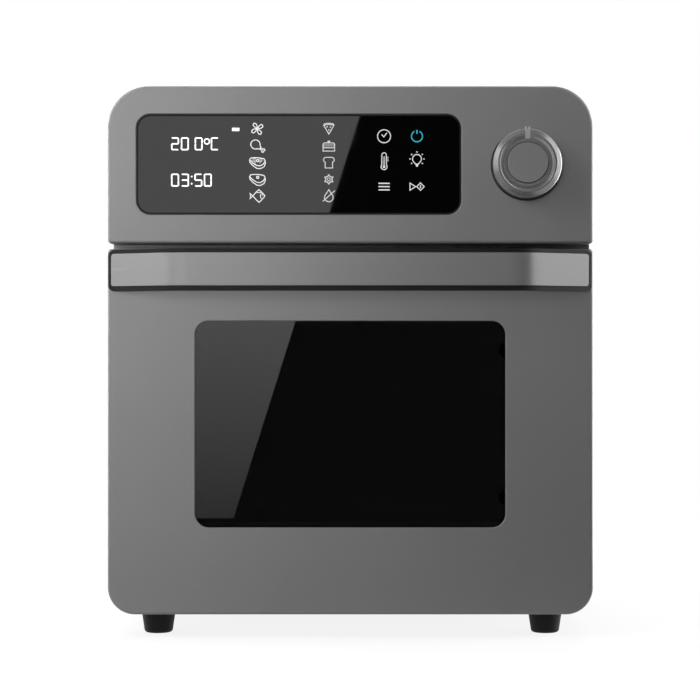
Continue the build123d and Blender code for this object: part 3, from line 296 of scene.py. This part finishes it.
def oxidised(name):
    """Heater sheath gone brown, blue and grey with use."""
    brown, worn_grey, blue = (0.10, 0.075, 0.06), (0.2, 0.19, 0.185), (0.02, 0.03, 0.055)
    patch_size, speck_size, speck_depth = 22 * MM, 1.2 * MM, 0.03 * MM
    s = Shader(name)
    patch = s.noise(patch_size, detail=4.0)
    speck = s.noise(speck_size)
    warm = s.blend(s.span(patch, 0, 1, source_low=0.35, source_high=0.6), brown, worn_grey)
    cool = s.blend(s.span(patch, 0, 1, source_low=0.55, source_high=0.7), BLACK, blue)
    s.set(Base_Color=s.blend(1.0, warm, cool, way="ADD"), Metallic=0.8)
    s.set(Roughness=s.level(speck, 0.36, 0.62))
    s.set(Normal=s.bump(speck, speck_depth, strength=0.5))
    return s.material


def enamel(name, colour):
    """Dark non-stick coat with fine light specks."""
    speck_size, cloud_size, grain_size, grain_depth = 2.2 * MM, 9 * MM, 0.9 * MM, 0.015 * MM
    s = Shader(name)
    s.set(Base_Color=s.blend(s.specks(speck_size, share=0.09), colour, grey(0.2)))
    s.set(Roughness=s.span(s.noise(cloud_size), 0.3, 0.42), Coat_Weight=0.2, Coat_Roughness=0.2)
    s.set(Normal=s.bump(s.noise(grain_size), grain_depth, strength=0.6))
    return s.material


def gloss_black(name, colour):
    """Back-printed display glass: black, flat and glossy, with a trace of dust and wiping."""
    wipe_scale, wipe_turn = (14.0, 14.0, 60.0), (0.0, 0.5, 0.0)
    s = Shader(name)
    wipe = s.noise(1.0, vector=s.stretched(wipe_scale, wipe_turn))
    s.set(Base_Color=s.blend(s.specks(3.4 * MM, share=0.02), colour, grey(0.03)))
    s.set(Roughness=s.level(wipe, 0.012, 0.03), IOR=1.5)
    return s.material


def tinted_glass(name, tint):
    """Clear or tinted pane, with wiping marks that show only in its gloss."""
    wipe_scale, wipe_turn = (12.0, 12.0, 45.0), (0.0, 0.4, 0.0)
    s = Shader(name)
    wipe = s.noise(1.0, vector=s.stretched(wipe_scale, wipe_turn))
    cloud = s.noise(50 * MM)
    s.set(Base_Color=s.blend(cloud, *shades(tint, spread=0.05)), Transmission_Weight=1.0, IOR=1.5)
    s.set(Roughness=s.span(wipe, 0.0, 0.02, source_low=0.4, source_high=0.8))
    return s.material


def board(name):
    """Circuit board: green mask over lighter copper runs, with drilled points."""
    mask, copper, hole_rim = (0.012, 0.09, 0.045), (0.05, 0.2, 0.1), (0.5, 0.48, 0.4)
    cell = 6 * MM
    s = Shader(name)
    flat = s.stretched((1 / cell, 1 / cell, 1 / cell), (math.pi / 2, 0, 0))
    inputs = {"Scale": 1.0, "Mortar Size": 0.035, "Brick Width": 0.9, "Row Height": 0.35, "Vector": flat}
    runs = s.make("ShaderNodeTexBrick", inputs, offset=0.5).outputs["Fac"]
    s.set(Base_Color=s.blend(s.specks(3.5 * MM, share=0.14), s.blend(runs, mask, copper), hole_rim))
    s.set(Roughness=s.span(s.noise(3 * MM), 0.32, 0.5))
    s.set(Normal=s.bump(runs, 0.03 * MM, strength=0.6))
    return s.material


def lit(name, colour, strength):
    """Print on the display's glass that its lamps shine through."""
    unlit = [0.4 * c for c in colour]
    s = Shader(name)
    uneven = s.noise(2.2 * MM, detail=2.0)
    s.set(Base_Color=s.blend(uneven, *shades(unlit, spread=0.1)), Roughness=0.4)
    s.set(Emission_Color=s.blend(uneven, *shades(colour, spread=0.08)), Emission_Strength=strength)
    return s.material


MATERIALS = {
    "body_paint": painted("satin_grey_paint", (0.178, 0.178, 0.18), rough=0.4, metallic=0.25),
    "display_glass": gloss_black("display_glass", (0.0012, 0.0012, 0.0013)),
    "window_glass": tinted_glass("window_glass", (0.07, 0.07, 0.075)),
    "black_plastic": moulded("black_plastic", (0.007, 0.007, 0.0075), rough=0.4, shine=0.25),
    "white_plastic": moulded("white_plastic", (0.6, 0.6, 0.58), rough=0.45),
    "dial_metal": turned("dial_metal", grey(0.3), DIAL_CENTRE, DIAL_AXIS, rough=0.26, metallic=0.7),
    "pointer_metal": brushed("pointer_metal", grey(0.4), along=(0, 0, 1), rough=0.3, metallic=0.4,
                             contrast=0.02),
    "handle_metal": brushed("handle_metal", grey(0.235), along=(1, 0, 0), rough=0.27, metallic=0.4,
                            contrast=0.012, depth=0.0008 * MM, varies=(1, 0, 1)),
    "cavity_steel": brushed("cavity_steel", (0.42, 0.42, 0.415), along=(0, 1, 0), rough=0.3),
    "zinc_steel": galvanised("zinc_steel", (0.45, 0.46, 0.47), rough=0.46),
    "bright_steel": bright_steel("bright_steel", grey(0.6)),
    "heater_steel": oxidised("heater_steel"),
    "rubber": moulded("rubber", grey(0.006), rough=0.6, shine=0.2),
    "silicone": moulded("silicone", grey(0.09), rough=0.5, grain=0.8 * MM),
    "circuit_board": board("circuit_board"),
    "clear_glass": tinted_glass("clear_glass", (0.9, 0.9, 0.88)),
    "tray_enamel": enamel("tray_enamel", (0.02, 0.02, 0.021)),
}

# Pieces that look different from the rest of their material
OWN_LOOK = {"knob_pointer": "pointer_metal"}

# Rounding of the pieces whose sharp edges catch the light, and the number of steps in it
BROKEN_EDGES = {"handle_face": (0.8 * MM, 4), "handle_grip": (0.9 * MM, 2)}
SHARP_ANGLE = math.radians(40)


def dress_nodes():
    for part in frame["record"]["subparts"]:
        materials = NODES[part["node"]].data.materials
        materials.clear()
        materials.append(MATERIALS[OWN_LOOK.get(part["node"], part["material_slot"])])


def break_edges():
    """Rounds sharp edges, as pressing or moulding leaves them."""
    for node, (width, segments) in BROKEN_EDGES.items():
        bevel = NODES[node].modifiers.new("broken_edges", "BEVEL")
        bevel.width = width
        bevel.segments = segments
        bevel.limit_method = "ANGLE"
        bevel.angle_limit = SHARP_ANGLE
        bevel.harden_normals = True


# Lit print on the display. A point is (right, up) in millimetres from the glass's centre.

PRINT_LIFT = 0.03 * MM
PRINT_DEPTH = 0.02 * MM
LINE = 0.62
SHARPEST_MITRE = 0.5


def print_point(point, depth):
    return Vector((GLASS_CENTRE.x + point[0] * MM, GLASS_LOW.y - depth, GLASS_CENTRE.z + point[1] * MM))


def add_plate(mesh, outline):
    """Thin closed plate with this outline."""
    top = [mesh.verts.new(print_point(p, PRINT_LIFT)) for p in outline]
    foot = [mesh.verts.new(print_point(p, PRINT_LIFT - PRINT_DEPTH)) for p in outline]
    mesh.faces.new(top)
    mesh.faces.new(reversed(foot))
    for i in range(len(outline)):
        j = (i + 1) % len(outline)
        mesh.faces.new((top[j], top[i], foot[i], foot[j]))


def left_of(direction):
    return Vector((-direction.y, direction.x))


def runs_at(points, i, closed):
    """Directions of the line into and out of one of its points."""
    count = len(points)
    runs = []
    if closed or i > 0:
        runs.append((points[i] - points[(i - 1) % count]).normalized())
    if closed or i < count - 1:
        runs.append((points[(i + 1) % count] - points[i]).normalized())
    return runs


def sides_of(points, width, closed):
    """Points to the left and right of a line, mitred at its corners."""
    points = [Vector(point) for point in points]
    left, right = [], []
    for i, point in enumerate(points):
        runs = runs_at(points, i, closed)
        across = left_of(sum(runs, Vector((0, 0))).normalized())
        reach = width / 2 / max(SHARPEST_MITRE, abs(across.dot(left_of(runs[0]))))
        left.append(point + across * reach)
        right.append(point - across * reach)
    return left, right


def add_line(mesh, points, width, closed):
    left, right = sides_of(points, width, closed)
    count = len(points)
    for i in range(count if closed else count - 1):
        j = (i + 1) % count
        add_plate(mesh, [left[i], right[i], right[j], left[j]])


def on_circle(centre, radius, degrees, squash=1.0):
    turn = math.radians(degrees)
    return (centre[0] + radius * math.cos(turn), centre[1] + squash * radius * math.sin(turn))


def arc(centre, radius, start, end, steps, squash=1.0):
    turns = [start + (end - start) * i / steps for i in range(steps + 1)]
    return [on_circle(centre, radius, turn, squash) for turn in turns]


def ring(centre, radius, steps, squash=1.0):
    return arc(centre, radius, 0, 360, steps, squash)[:-1]


class Pen:
    """Draws on the glass about a centre, turned by an angle in degrees."""

    def __init__(self, mesh, centre=(0, 0), turn=0):
        self.mesh = mesh
        self.centre = centre
        self.cos = math.cos(math.radians(turn))
        self.sin = math.sin(math.radians(turn))

    def moved(self, points):
        x0, y0 = self.centre
        return [(x0 + x * self.cos - y * self.sin, y0 + x * self.sin + y * self.cos) for x, y in points]

    def line(self, points, width=LINE, closed=False):
        add_line(self.mesh, self.moved(points), width, closed)

    def loop(self, points, width=LINE):
        self.line(points, width, closed=True)

    def plate(self, points):
        add_plate(self.mesh, self.moved(points))

    def dot(self, centre, radius, steps=12, squash=1.0):
        self.plate(ring(centre, radius, steps, squash))


# Seven-segment digits

DIGIT_WIDTH = 5.4
DIGIT_HEIGHT = 8.8
BAR = 0.95
BAR_GAP = 0.16
BAR_TIP = 0.6
SEGMENTS = {"0": "abcdef", "2": "abged", "3": "abgcd", "5": "afgcd", "C": "afed"}

# Rows of figures: each figure with its left side
TOP_ROW = 13.9
TOP_FIGURES = (("2", -86.2), ("0", -79.6), ("0", -70.3), ("C", -59.4))
DEGREE_SIGN = (-62.0, TOP_ROW + 1.6)
TIME_ROW = -10.6
TIME_FIGURES = (("0", -86.2), ("3", -79.5), ("5", -70.5), ("0", -64.1))
COLON_X = -72.3
COLON_REACH = 2.4
RUNNING_MARK = ((-45.1, 22.5), (-40.1, 22.5), (-40.1, 24.7), (-45.1, 24.7))


def bar_ends():
    """Centre line of each segment of a digit, from the middle of its cell."""
    x = (DIGIT_WIDTH - BAR) / 2
    y = (DIGIT_HEIGHT - BAR) / 2
    return {
        "a": ((-x, y), (x, y)),
        "b": ((x, y), (x, 0)),
        "c": ((x, 0), (x, -y)),
        "d": ((-x, -y), (x, -y)),
        "e": ((-x, -y), (-x, 0)),
        "f": ((-x, 0), (-x, y)),
        "g": ((-x, 0), (x, 0)),
    }


def bar_outline(start, end):
    """One segment with pointed ends."""
    a, b = Vector(start), Vector(end)
    along = (b - a).normalized()
    across = left_of(along) * BAR / 2
    a, b = a + along * BAR_GAP, b - along * BAR_GAP
    tip = along * BAR / 2
    point, shoulder = tip * BAR_TIP, tip * (1 - BAR_TIP)
    near = [a + shoulder + across, a - point, a + shoulder - across]
    far = [b - shoulder - across, b + point, b - shoulder + across]
    return near + far


def add_digit(mesh, figure, centre):
    pen = Pen(mesh, centre)
    ends = bar_ends()
    for name in SEGMENTS[figure]:
        pen.plate(bar_outline(*ends[name]))


def digits(mesh):
    for row, figures in ((TOP_ROW, TOP_FIGURES), (TIME_ROW, TIME_FIGURES)):
        for figure, left in figures:
            add_digit(mesh, figure, (left + DIGIT_WIDTH / 2, row))
    pen = Pen(mesh)
    pen.loop(ring(DEGREE_SIGN, 1.75, steps=28), width=0.85)
    for level in (-COLON_REACH, COLON_REACH):
        pen.dot((COLON_X, TIME_ROW + level), 0.6)
    pen.plate(RUNNING_MARK)


# Food pictograms

LEFT_COLUMN = -28.0
RIGHT_COLUMN = 20.3
FOOD_ROWS = (24.1, 12.5, 1.2, -10.1, -21.3)

FAN_BLADE = [(0.5, 0.4), (1.2, 1.9), (2.5, 2.9), (3.7, 2.3), (3.6, 1.1), (2.4, 0.3), (1.1, 0.0)]
DRUMSTICK_LEAN = -38
DRUMSTICK_BONE = [(2.6, 0.55), (4.4, 0.55), (5.0, 1.3), (5.9, 0.9), (5.6, 0), (5.9, -0.9), (5.0, -1.3),
                  (4.4, -0.55), (2.6, -0.55)]
CHOP_RIM = [(-5.2, 1.9), (-4.4, 3.1), (-1.8, 3.4), (1.6, 3.2), (4.6, 2.6), (5.3, 1.0), (4.2, -0.9),
            (1.9, -2.2), (-0.5, -1.9), (-3.1, -0.2)]
CHOP_SIDE = [(-5.2, 1.9), (-5.0, 0.2), (-3.0, -2.0), (-0.3, -3.9), (2.0, -4.1), (4.5, -2.9), (5.4, -0.8),
             (5.3, 1.0)]
CHOP_LEVELS = (2.6, 1.7, 0.8, -0.1, -1.0)
CHOP_HALF, CHOP_WIDEST, CHOP_TAPER = 4.1, 1.6, 1.05
CHOP_BONE_LEFT, CHOP_BONE_RIGHT = -0.9, 1.5
FISH_BODY = [(-3.0, 0), (-0.6, 2.7), (1.1, 4.3), (2.5, 3.0), (5.1, 0.3), (4.6, -0.8), (2.4, -3.2),
             (1.2, -4.3), (-0.6, -2.7)]
FISH_TAIL = [(-3.0, 0), (-5.0, 1.9), (-4.4, 0), (-5.0, -1.9)]
PIZZA_SIDES = [(-3.5, 2.4), (0, -3.6), (3.5, 2.4)]
PIZZA_CRUST = [(-3.5, 2.4), (-2.9, 3.3), (0, 3.7), (2.9, 3.3), (3.5, 2.4), (0, 2.9)]
PIZZA_TOPPING = ((-1.2, 1.3), (1.1, 1.0), (0.0, -0.8))
FROST_RADII = (2.0, 3.1)
CAKE_BOX = [(-3.9, -3.5), (3.9, -3.5), (3.9, 1.2), (3.2, 2.0), (-3.2, 2.0), (-3.9, 1.2)]


def fan_sign(mesh, centre):
    for turn in (0, 90, 180, 270):
        Pen(mesh, centre, turn).loop(FAN_BLADE)
    Pen(mesh, centre).dot((0, 0), 0.6)


def drumstick_sign(mesh, centre):
    pen = Pen(mesh, centre, DRUMSTICK_LEAN)
    pen.loop(arc((-1.6, 0), 3.1, 35, 325, steps=28) + [(2.6, -0.6), (2.6, 0.6)])
    pen.line(DRUMSTICK_BONE)


def chop_sign(mesh, centre):
    pen = Pen(mesh, centre)
    pen.loop(CHOP_RIM)
    pen.line(CHOP_SIDE)
    pen.loop(ring((0.3, 1.4), 0.8, steps=12))


def grilled_chop_sign(mesh, centre):
    """A chop with lines across its face."""
    chop_sign(mesh, centre)
    pen = Pen(mesh, centre)
    for level in CHOP_LEVELS:
        half = CHOP_HALF - abs(level - CHOP_WIDEST) * CHOP_TAPER
        pen.line([(-half, level), (CHOP_BONE_LEFT, level)], width=0.36)
        pen.line([(CHOP_BONE_RIGHT, level), (half, level)], width=0.36)


def fish_sign(mesh, centre):
    pen = Pen(mesh, centre)
    pen.loop(FISH_BODY)
    pen.loop(FISH_TAIL)
    pen.line(arc((4.3, 0), 2.2, 130, 230, steps=8), width=0.5)
    pen.line([(-0.3, 2.3), (2.6, 2.3)], width=0.45)
    pen.dot((3.6, 0.6), 0.4, steps=10)


def pizza_sign(mesh, centre):
    pen = Pen(mesh, centre)
    pen.line(PIZZA_SIDES)
    pen.loop(PIZZA_CRUST)
    for place in PIZZA_TOPPING:
        pen.dot(place, 0.5, steps=10)


def cake_sign(mesh, centre):
    pen = Pen(mesh, centre)
    pen.loop(CAKE_BOX)
    pen.line([(-3.9, 0.6), (3.9, 0.6)], width=0.45)
    pen.line([(-3.9 + 0.65 * i, -0.7 if i % 2 else -1.5) for i in range(13)], width=0.5)
    pen.dot((0, 2.9), 0.95, squash=0.7)


def bread_sign(mesh, centre):
    top = arc((-1.9, 1.9), 1.7, 250, 80, steps=10) + arc((1.9, 1.9), 1.7, 100, -70, steps=10)
    Pen(mesh, centre).loop(top + [(2.5, -3.6), (-2.5, -3.6)])


def frost_sign(mesh, centre):
    pen = Pen(mesh, centre)
    turns = range(0, 360, 30)
    pen.loop([on_circle((0, 0), radius, turn) for turn, radius in zip(turns, FROST_RADII * 6)], width=0.7)
    pen.loop(ring((0, 0), 1.0, steps=14), width=0.5)


def drop_sign(mesh, centre):
    pen = Pen(mesh, centre)
    pen.loop([(0, 4.2)] + arc((0, -1.0), 2.9, 30, -210, steps=20))
    pen.line([(-4.0, -3.6), (4.1, 3.6)])


LEFT_SIGNS = (fan_sign, drumstick_sign, grilled_chop_sign, chop_sign, fish_sign)
RIGHT_SIGNS = (pizza_sign, cake_sign, bread_sign, frost_sign, drop_sign)


def left_signs(mesh):
    for sign, level in zip(LEFT_SIGNS, FOOD_ROWS):
        sign(mesh, (LEFT_COLUMN, level))


def right_signs(mesh):
    for sign, level in zip(RIGHT_SIGNS, FOOD_ROWS):
        sign(mesh, (RIGHT_COLUMN, level))


# Touch keys

LEFT_KEYS, RIGHT_KEYS = 57.6, 79.8
KEY_ROWS = (19.0, 2.2, -15.0)
BULB_RAYS = (-40, 0, 40, 90, 140, 180, 220)
BULB_RAY = (4.3, 5.1)


def clock_sign(mesh, centre):
    pen = Pen(mesh, centre)
    pen.loop(ring((0, 0), 4.4, steps=36))
    pen.line([(-1.7, 1.2), (-0.2, -0.4), (1.9, 2.3)])


def power_sign(mesh):
    pen = Pen(mesh, (RIGHT_KEYS, KEY_ROWS[0]))
    pen.line(arc((0, 0), 3.7, 118, 422, steps=32), width=0.75)
    pen.line([(0, 4.3), (0, 1.7)], width=0.9)


def thermometer_sign(mesh, centre):
    pen = Pen(mesh, centre)
    pen.loop(arc((0, 4.2), 1.5, 0, 180, steps=10) + arc((0, -3.7), 2.0, 140, 400, steps=18))
    pen.line([(0, 3.2), (0, -3.0)], width=0.6)
    pen.dot((0, -3.8), 0.9)
    for level in (2.6, 1.4, 0.2):
        pen.line([(2.1, level), (3.0, level)], width=0.5)


def bulb_sign(mesh, centre):
    pen = Pen(mesh, centre)
    middle = (0, 0.9)
    pen.loop(arc(middle, 3.0, -52, 232, steps=24) + [(-0.9, -2.6), (0.9, -2.6)])
    pen.plate([(-0.9, -2.9), (0.9, -2.9), (0.6, -4.3), (-0.6, -4.3)])
    for turn in BULB_RAYS:
        pen.line([on_circle(middle, radius, turn) for radius in BULB_RAY], width=0.8)


def menu_sign(mesh, centre):
    pen = Pen(mesh, centre)
    for level in (-2.2, 0, 2.2):
        pen.line([(-3.8, level), (3.8, level)], width=0.8)


def start_sign(mesh, centre):
    pen = Pen(mesh, centre)
    pen.loop([(-4.7, 2.4), (-4.7, -2.4), (-0.9, 0)])
    pen.loop([(-0.2, 0), (2.4, 2.5), (4.9, 0), (2.4, -2.5)])
    pen.line([(2.4, 1.1), (2.4, -1.1)], width=0.7)


def key_signs(mesh):
    top, middle, foot = KEY_ROWS
    clock_sign(mesh, (LEFT_KEYS, top))
    thermometer_sign(mesh, (LEFT_KEYS, middle))
    bulb_sign(mesh, (RIGHT_KEYS, middle + 0.6))
    menu_sign(mesh, (LEFT_KEYS, foot))
    start_sign(mesh, (RIGHT_KEYS, foot))


def printed(name, draw, material):
    """A piece of the display's print, made by one of the drawing functions."""
    mesh = bmesh.new()
    draw(mesh)
    data = bpy.data.meshes.new(name)
    mesh.to_mesh(data)
    mesh.free()
    data.materials.append(material)
    piece = bpy.data.objects.new(name, data)
    bpy.context.scene.collection.objects.link(piece)
    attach(piece, "root")


def print_display():
    printed("display_digits", digits, lit("lit_digits", grey(0.9), 1.0))
    printed("display_preset_signs_left", left_signs, lit("lit_signs", grey(0.72), 0.75))
    printed("display_preset_signs_right", right_signs, lit("lit_signs_right", grey(0.62), 0.6))
    printed("display_key_signs", key_signs, lit("lit_keys", grey(0.62), 0.75))
    printed("display_power_sign", power_sign, lit("lit_power", (0.02, 0.3, 0.4), 0.9))


# Lamps

MIDDLE = (0, 0, 0.2)
FRONT_MIDDLE = (0, FRONT_Y, 0.2)

# Each lamp's place, the point that it looks at, its width and height, and its power in watts
LAMPS = {
    "key": ((-0.5, FRONT_Y - 0.7, 0.25), FRONT_MIDDLE, (0.5, 0.36), 4.3),
    "high_key": ((-0.4, FRONT_Y - 0.3, 0.6), FRONT_MIDDLE, (0.42, 0.42), 4.8),
    "right_fill": ((1.1, 0.02, 0.45), MIDDLE, (0.3, 0.9), 14.0),
    "left_fill": ((-1.1, 0.3, 0.5), MIDDLE, (0.7, 0.9), 10.0),
    "top_fill": ((0, 0.25, 1.5), (0, 0.05, 0.3), (0.9, 0.9), 14.0),
    "back_fill": ((0.2, 1.4, 0.7), MIDDLE, (0.9, 0.9), 16.0),
}
LAMPS_IN_GLOSS = ("back_fill",)

HANDLE = ("handle_face", "handle_grip")
KNOB = ("knob_ring", "knob_pointer", "knob_cap", "knob_core")


def panel_lamp(name, place, target, size, power):
    lamp = bpy.data.lights.new(name, "AREA")
    lamp.shape = "RECTANGLE"
    lamp.size, lamp.size_y = size
    lamp.energy = power
    holder = bpy.data.objects.new(name, lamp)
    holder.location = place
    holder.rotation_euler = (Vector(target) - Vector(place)).to_track_quat("-Z", "Y").to_euler()
    holder.visible_camera = False
    holder.visible_glossy = name in LAMPS_IN_GLOSS
    bpy.context.scene.collection.objects.link(holder)
    return holder


def shine_past(lamp, names):
    """Keeps what stands proud of the front from shading it under a lamp, as in light from a whole room."""
    blockers = bpy.data.collections.new(lamp.name + "_blockers")
    for name, node in NODES.items():
        if name not in names:
            blockers.objects.link(node)
    lamp.light_linking.blocker_collection = blockers


def make_lamps():
    lamps = {name: panel_lamp(name, *facts) for name, facts in LAMPS.items()}
    shine_past(lamps["key"], KNOB)
    shine_past(lamps["high_key"], HANDLE + KNOB)


# Sheets of the studio

def emptied(owner):
    """Tree of a material or world, with nothing in it."""
    owner.use_nodes = True
    owner.node_tree.nodes.clear()
    return Tree(owner.node_tree)


def stage_sheet(name, corners, material):
    data = bpy.data.meshes.new(name)
    data.from_pydata(corners, [], [tuple(range(len(corners)))])
    data.materials.append(material)
    sheet = bpy.data.objects.new(name, data)
    bpy.context.scene.collection.objects.link(sheet)
    return sheet


def glow_material(name, top, foot, low, high):
    """Emission that fades from the top of a sheet to its foot."""
    material = bpy.data.materials.new(name)
    t = emptied(material)
    height = t.along(t.object_place(), "Z")
    glow = t.make("ShaderNodeEmission", {"Strength": t.span(height, foot, top, low, high)})
    t.make("ShaderNodeOutputMaterial", {"Surface": glow.outputs[0]})
    return material


def softbox(name, corners, top, foot, low, high):
    """Glowing sheet seen only in glossy surfaces, with its strengths and the heights that they hold at."""
    sheet = stage_sheet(name, corners, glow_material(name + "_glow", top, foot, low, high))
    sheet.visible_camera = False
    sheet.visible_diffuse = False
    sheet.visible_shadow = False
    sheet.visible_transmission = False


# Cards in front, seen in the panes: distance as a share of the camera's, and strengths at top and foot
CARD_SHARE = 0.5
CARD_TOP = 1.6
CARD_FOOT = 0.55
CARD_LEFT = -260
CARD_FADE = (81, 210)

# Slanted edge of the cards, as it shows on the front in millimetres: its foot, and how far it leans
EDGE_FOOT = (-79, 81)
EDGE_LEAN = 88 / 280

# Heights on the front, in millimetres, between which each card shows
CARDS = {"window_card": (81, 222), "display_card": (278, 430)}

# Each side card's angle from straight ahead, distance, width, heights and strengths of its foot and top
SIDE_CARDS = {
    "right_card": (68, 0.5, 0.34, (0.15, 0.85), (1.6, 4.5)),
    "left_card": (-68, 0.5, 0.34, (0.2, 0.75), (0.7, 2.2)),
    "high_right_card": (48, 0.6, 0.35, (0.65, 1.0), (4.0, 4.0)),
    "high_left_card": (-48, 0.6, 0.3, (0.65, 0.95), (2.5, 2.5)),
    "right_rim": (118, 0.7, 0.55, (0.0, 0.6), (8.0, 8.0)),
    "left_rim": (-118, 0.7, 0.5, (0.0, 0.6), (5.0, 5.0)),
}


def seen_at(x, z):
    """Where the reflection card must have a point for the camera to see it at a place on the front."""
    far = 1 + CARD_SHARE
    card_x = CAMERA_X + (x * MM - CAMERA_X) * far
    card_z = CAMERA_Z + (z * MM - CAMERA_Z) * far
    return (card_x, FRONT_Y - CAMERA_DISTANCE * CARD_SHARE, card_z)


def card_edge(z):
    """Where the slanted edge of the reflection cards shows at a height."""
    return EDGE_FOOT[0] + EDGE_LEAN * (z - EDGE_FOOT[1])


def reflection_card(name, foot, top):
    """Softbox with a slanted edge that shows in a pane between two heights."""
    left_side = [seen_at(CARD_LEFT, foot), seen_at(CARD_LEFT, top)]
    right_side = [seen_at(card_edge(foot), foot), seen_at(card_edge(top), top)]
    corners = [left_side[0], right_side[0], right_side[1], left_side[1]]
    low, high = [seen_at(0, z)[2] for z in CARD_FADE]
    softbox(name, corners, CARD_TOP, CARD_FOOT, low, high)


def side_card(name, degrees, distance, width, heights, strengths):
    """Upright softbox at an angle from straight ahead."""
    turn = math.radians(degrees)
    low, high = heights
    foot, top = strengths
    middle = Vector((distance * math.sin(turn), FRONT_Y - distance * math.cos(turn), 0))
    across = Vector((math.cos(turn), math.sin(turn), 0)) * width / 2
    left, right = middle - across, middle + across
    sides = (left, right, right, left)
    corners = [(side.x, side.y, z) for side, z in zip(sides, (low, low, high, high))]
    softbox(name, corners, top, foot, low, high)


def make_cards():
    for name, heights in CARDS.items():
        reflection_card(name, *heights)
    for name, facts in SIDE_CARDS.items():
        side_card(name, *facts)


# Floor and world

FLOOR_RADIUS = 1.0
FLOOR_SIDES = 64
FLOOR_LIFT = 0.85
FLOOR_SHADES = (0.11, 0.12)
FLOOR_GRAIN = 40.0

# Strength of the floor's glow in what shines in front of the object, and the way over which it falls to it
FLOOR_FRONT = 0.12
FLOOR_FRONT_FADE = 0.12

# Radii between which the floor fades out
FLOOR_RIM = (FLOOR_RADIUS * 0.55, FLOOR_RADIUS * 0.98)

WORLD_AMBIENT = 0.25
WORLD_FRONT = 0.004

# How far back a direction points where the world turns from dark to white
WORLD_EDGE = (0.05, 0.35)


def floor_glow(t):
    """White to the camera, and darker in what shines in front of the object."""
    rays = t.add("ShaderNodeLightPath").outputs
    depth = t.along(t.object_place(), "Y")
    behind = t.span(depth, FLOOR_FRONT, 1.0, FRONT_Y - FLOOR_FRONT_FADE, FRONT_Y, curve="SMOOTHSTEP")
    mirrored = t.math("MULTIPLY", rays["Is Glossy Ray"], behind)
    gloss = t.math("MAXIMUM", mirrored, rays["Is Transmission Ray"])
    seen = t.math("MAXIMUM", rays["Is Camera Ray"], gloss)
    strength = t.math("MULTIPLY", seen, FLOOR_LIFT)
    return t.make("ShaderNodeEmission", {"Strength": strength}).outputs[0]


def floor_matt(t):
    """Dull surface that takes the object's shadow."""
    grain = t.make("ShaderNodeTexNoise", {"Scale": FLOOR_GRAIN}).outputs["Fac"]
    return t.make("ShaderNodeBsdfDiffuse", {"Color": t.span(grain, *FLOOR_SHADES)}).outputs[0]


def floor_gaps(t):
    """1 where the floor is clear: past its rim, and from below."""
    reach = t.length(t.object_place())
    rim = t.span(reach, 0.0, 1.0, *FLOOR_RIM, curve="SMOOTHSTEP")
    below = t.add("ShaderNodeNewGeometry").outputs["Backfacing"]
    return t.math("MAXIMUM", rim, below)


def floor_material():
    """White floor that keeps the object's shadow, fades out at its rim and is clear from below."""
    material = bpy.data.materials.new("pale_floor")
    t = emptied(material)
    solid = t.make("ShaderNodeAddShader", {0: floor_matt(t), 1: floor_glow(t)}).outputs[0]
    clear = t.add("ShaderNodeBsdfTransparent").outputs[0]
    mix = t.make("ShaderNodeMixShader", {0: floor_gaps(t), 1: solid, 2: clear})
    t.make("ShaderNodeOutputMaterial", {"Surface": mix.outputs[0]})
    return material


def make_floor():
    turns = [2 * math.pi * i / FLOOR_SIDES for i in range(FLOOR_SIDES)]
    corners = [(FLOOR_RADIUS * math.cos(turn), FLOOR_RADIUS * math.sin(turn), 0.0) for turn in turns]
    stage_sheet("pale_floor", corners, floor_material())


def make_world():
    """White to the camera and in what shines behind the object, dark in what shines in front of it."""
    world = bpy.data.worlds.new("studio")
    bpy.context.scene.world = world
    t = emptied(world)
    rays = t.add("ShaderNodeLightPath").outputs
    direction = t.add("ShaderNodeTexCoord").outputs["Generated"]
    behind = t.span(t.along(direction, "Y"), WORLD_FRONT, 1.0, *WORLD_EDGE, curve="SMOOTHSTEP")
    ambient = t.math("MULTIPLY", behind, WORLD_AMBIENT)
    unseen = t.choose(rays["Is Glossy Ray"], ambient, behind)
    seen = t.math("MAXIMUM", rays["Is Camera Ray"], rays["Is Transmission Ray"])
    inputs = {"Color": as_colour(grey(1.0)), "Strength": t.choose(seen, unseen, 1.0)}
    background = t.make("ShaderNodeBackground", inputs)
    t.make("ShaderNodeOutputWorld", {"Surface": background.outputs[0]})


def make_camera():
    data = bpy.data.cameras.new("camera")
    data.sensor_width = SENSOR
    data.lens = SENSOR * CAMERA_DISTANCE / VIEW_WIDTH
    data.shift_x = (VIEW_CENTRE_X - CAMERA_X) / VIEW_WIDTH
    camera = bpy.data.objects.new("camera", data)
    camera.location = (CAMERA_X, FRONT_Y - CAMERA_DISTANCE, CAMERA_Z)
    camera.rotation_euler = (math.pi / 2, 0, 0)
    bpy.context.scene.collection.objects.link(camera)
    bpy.context.scene.camera = camera


bpy.context.scene.view_settings.view_transform = "Standard"
dress_nodes()
break_edges()
print_display()
make_camera()
make_world()
make_floor()
make_cards()
make_lamps()
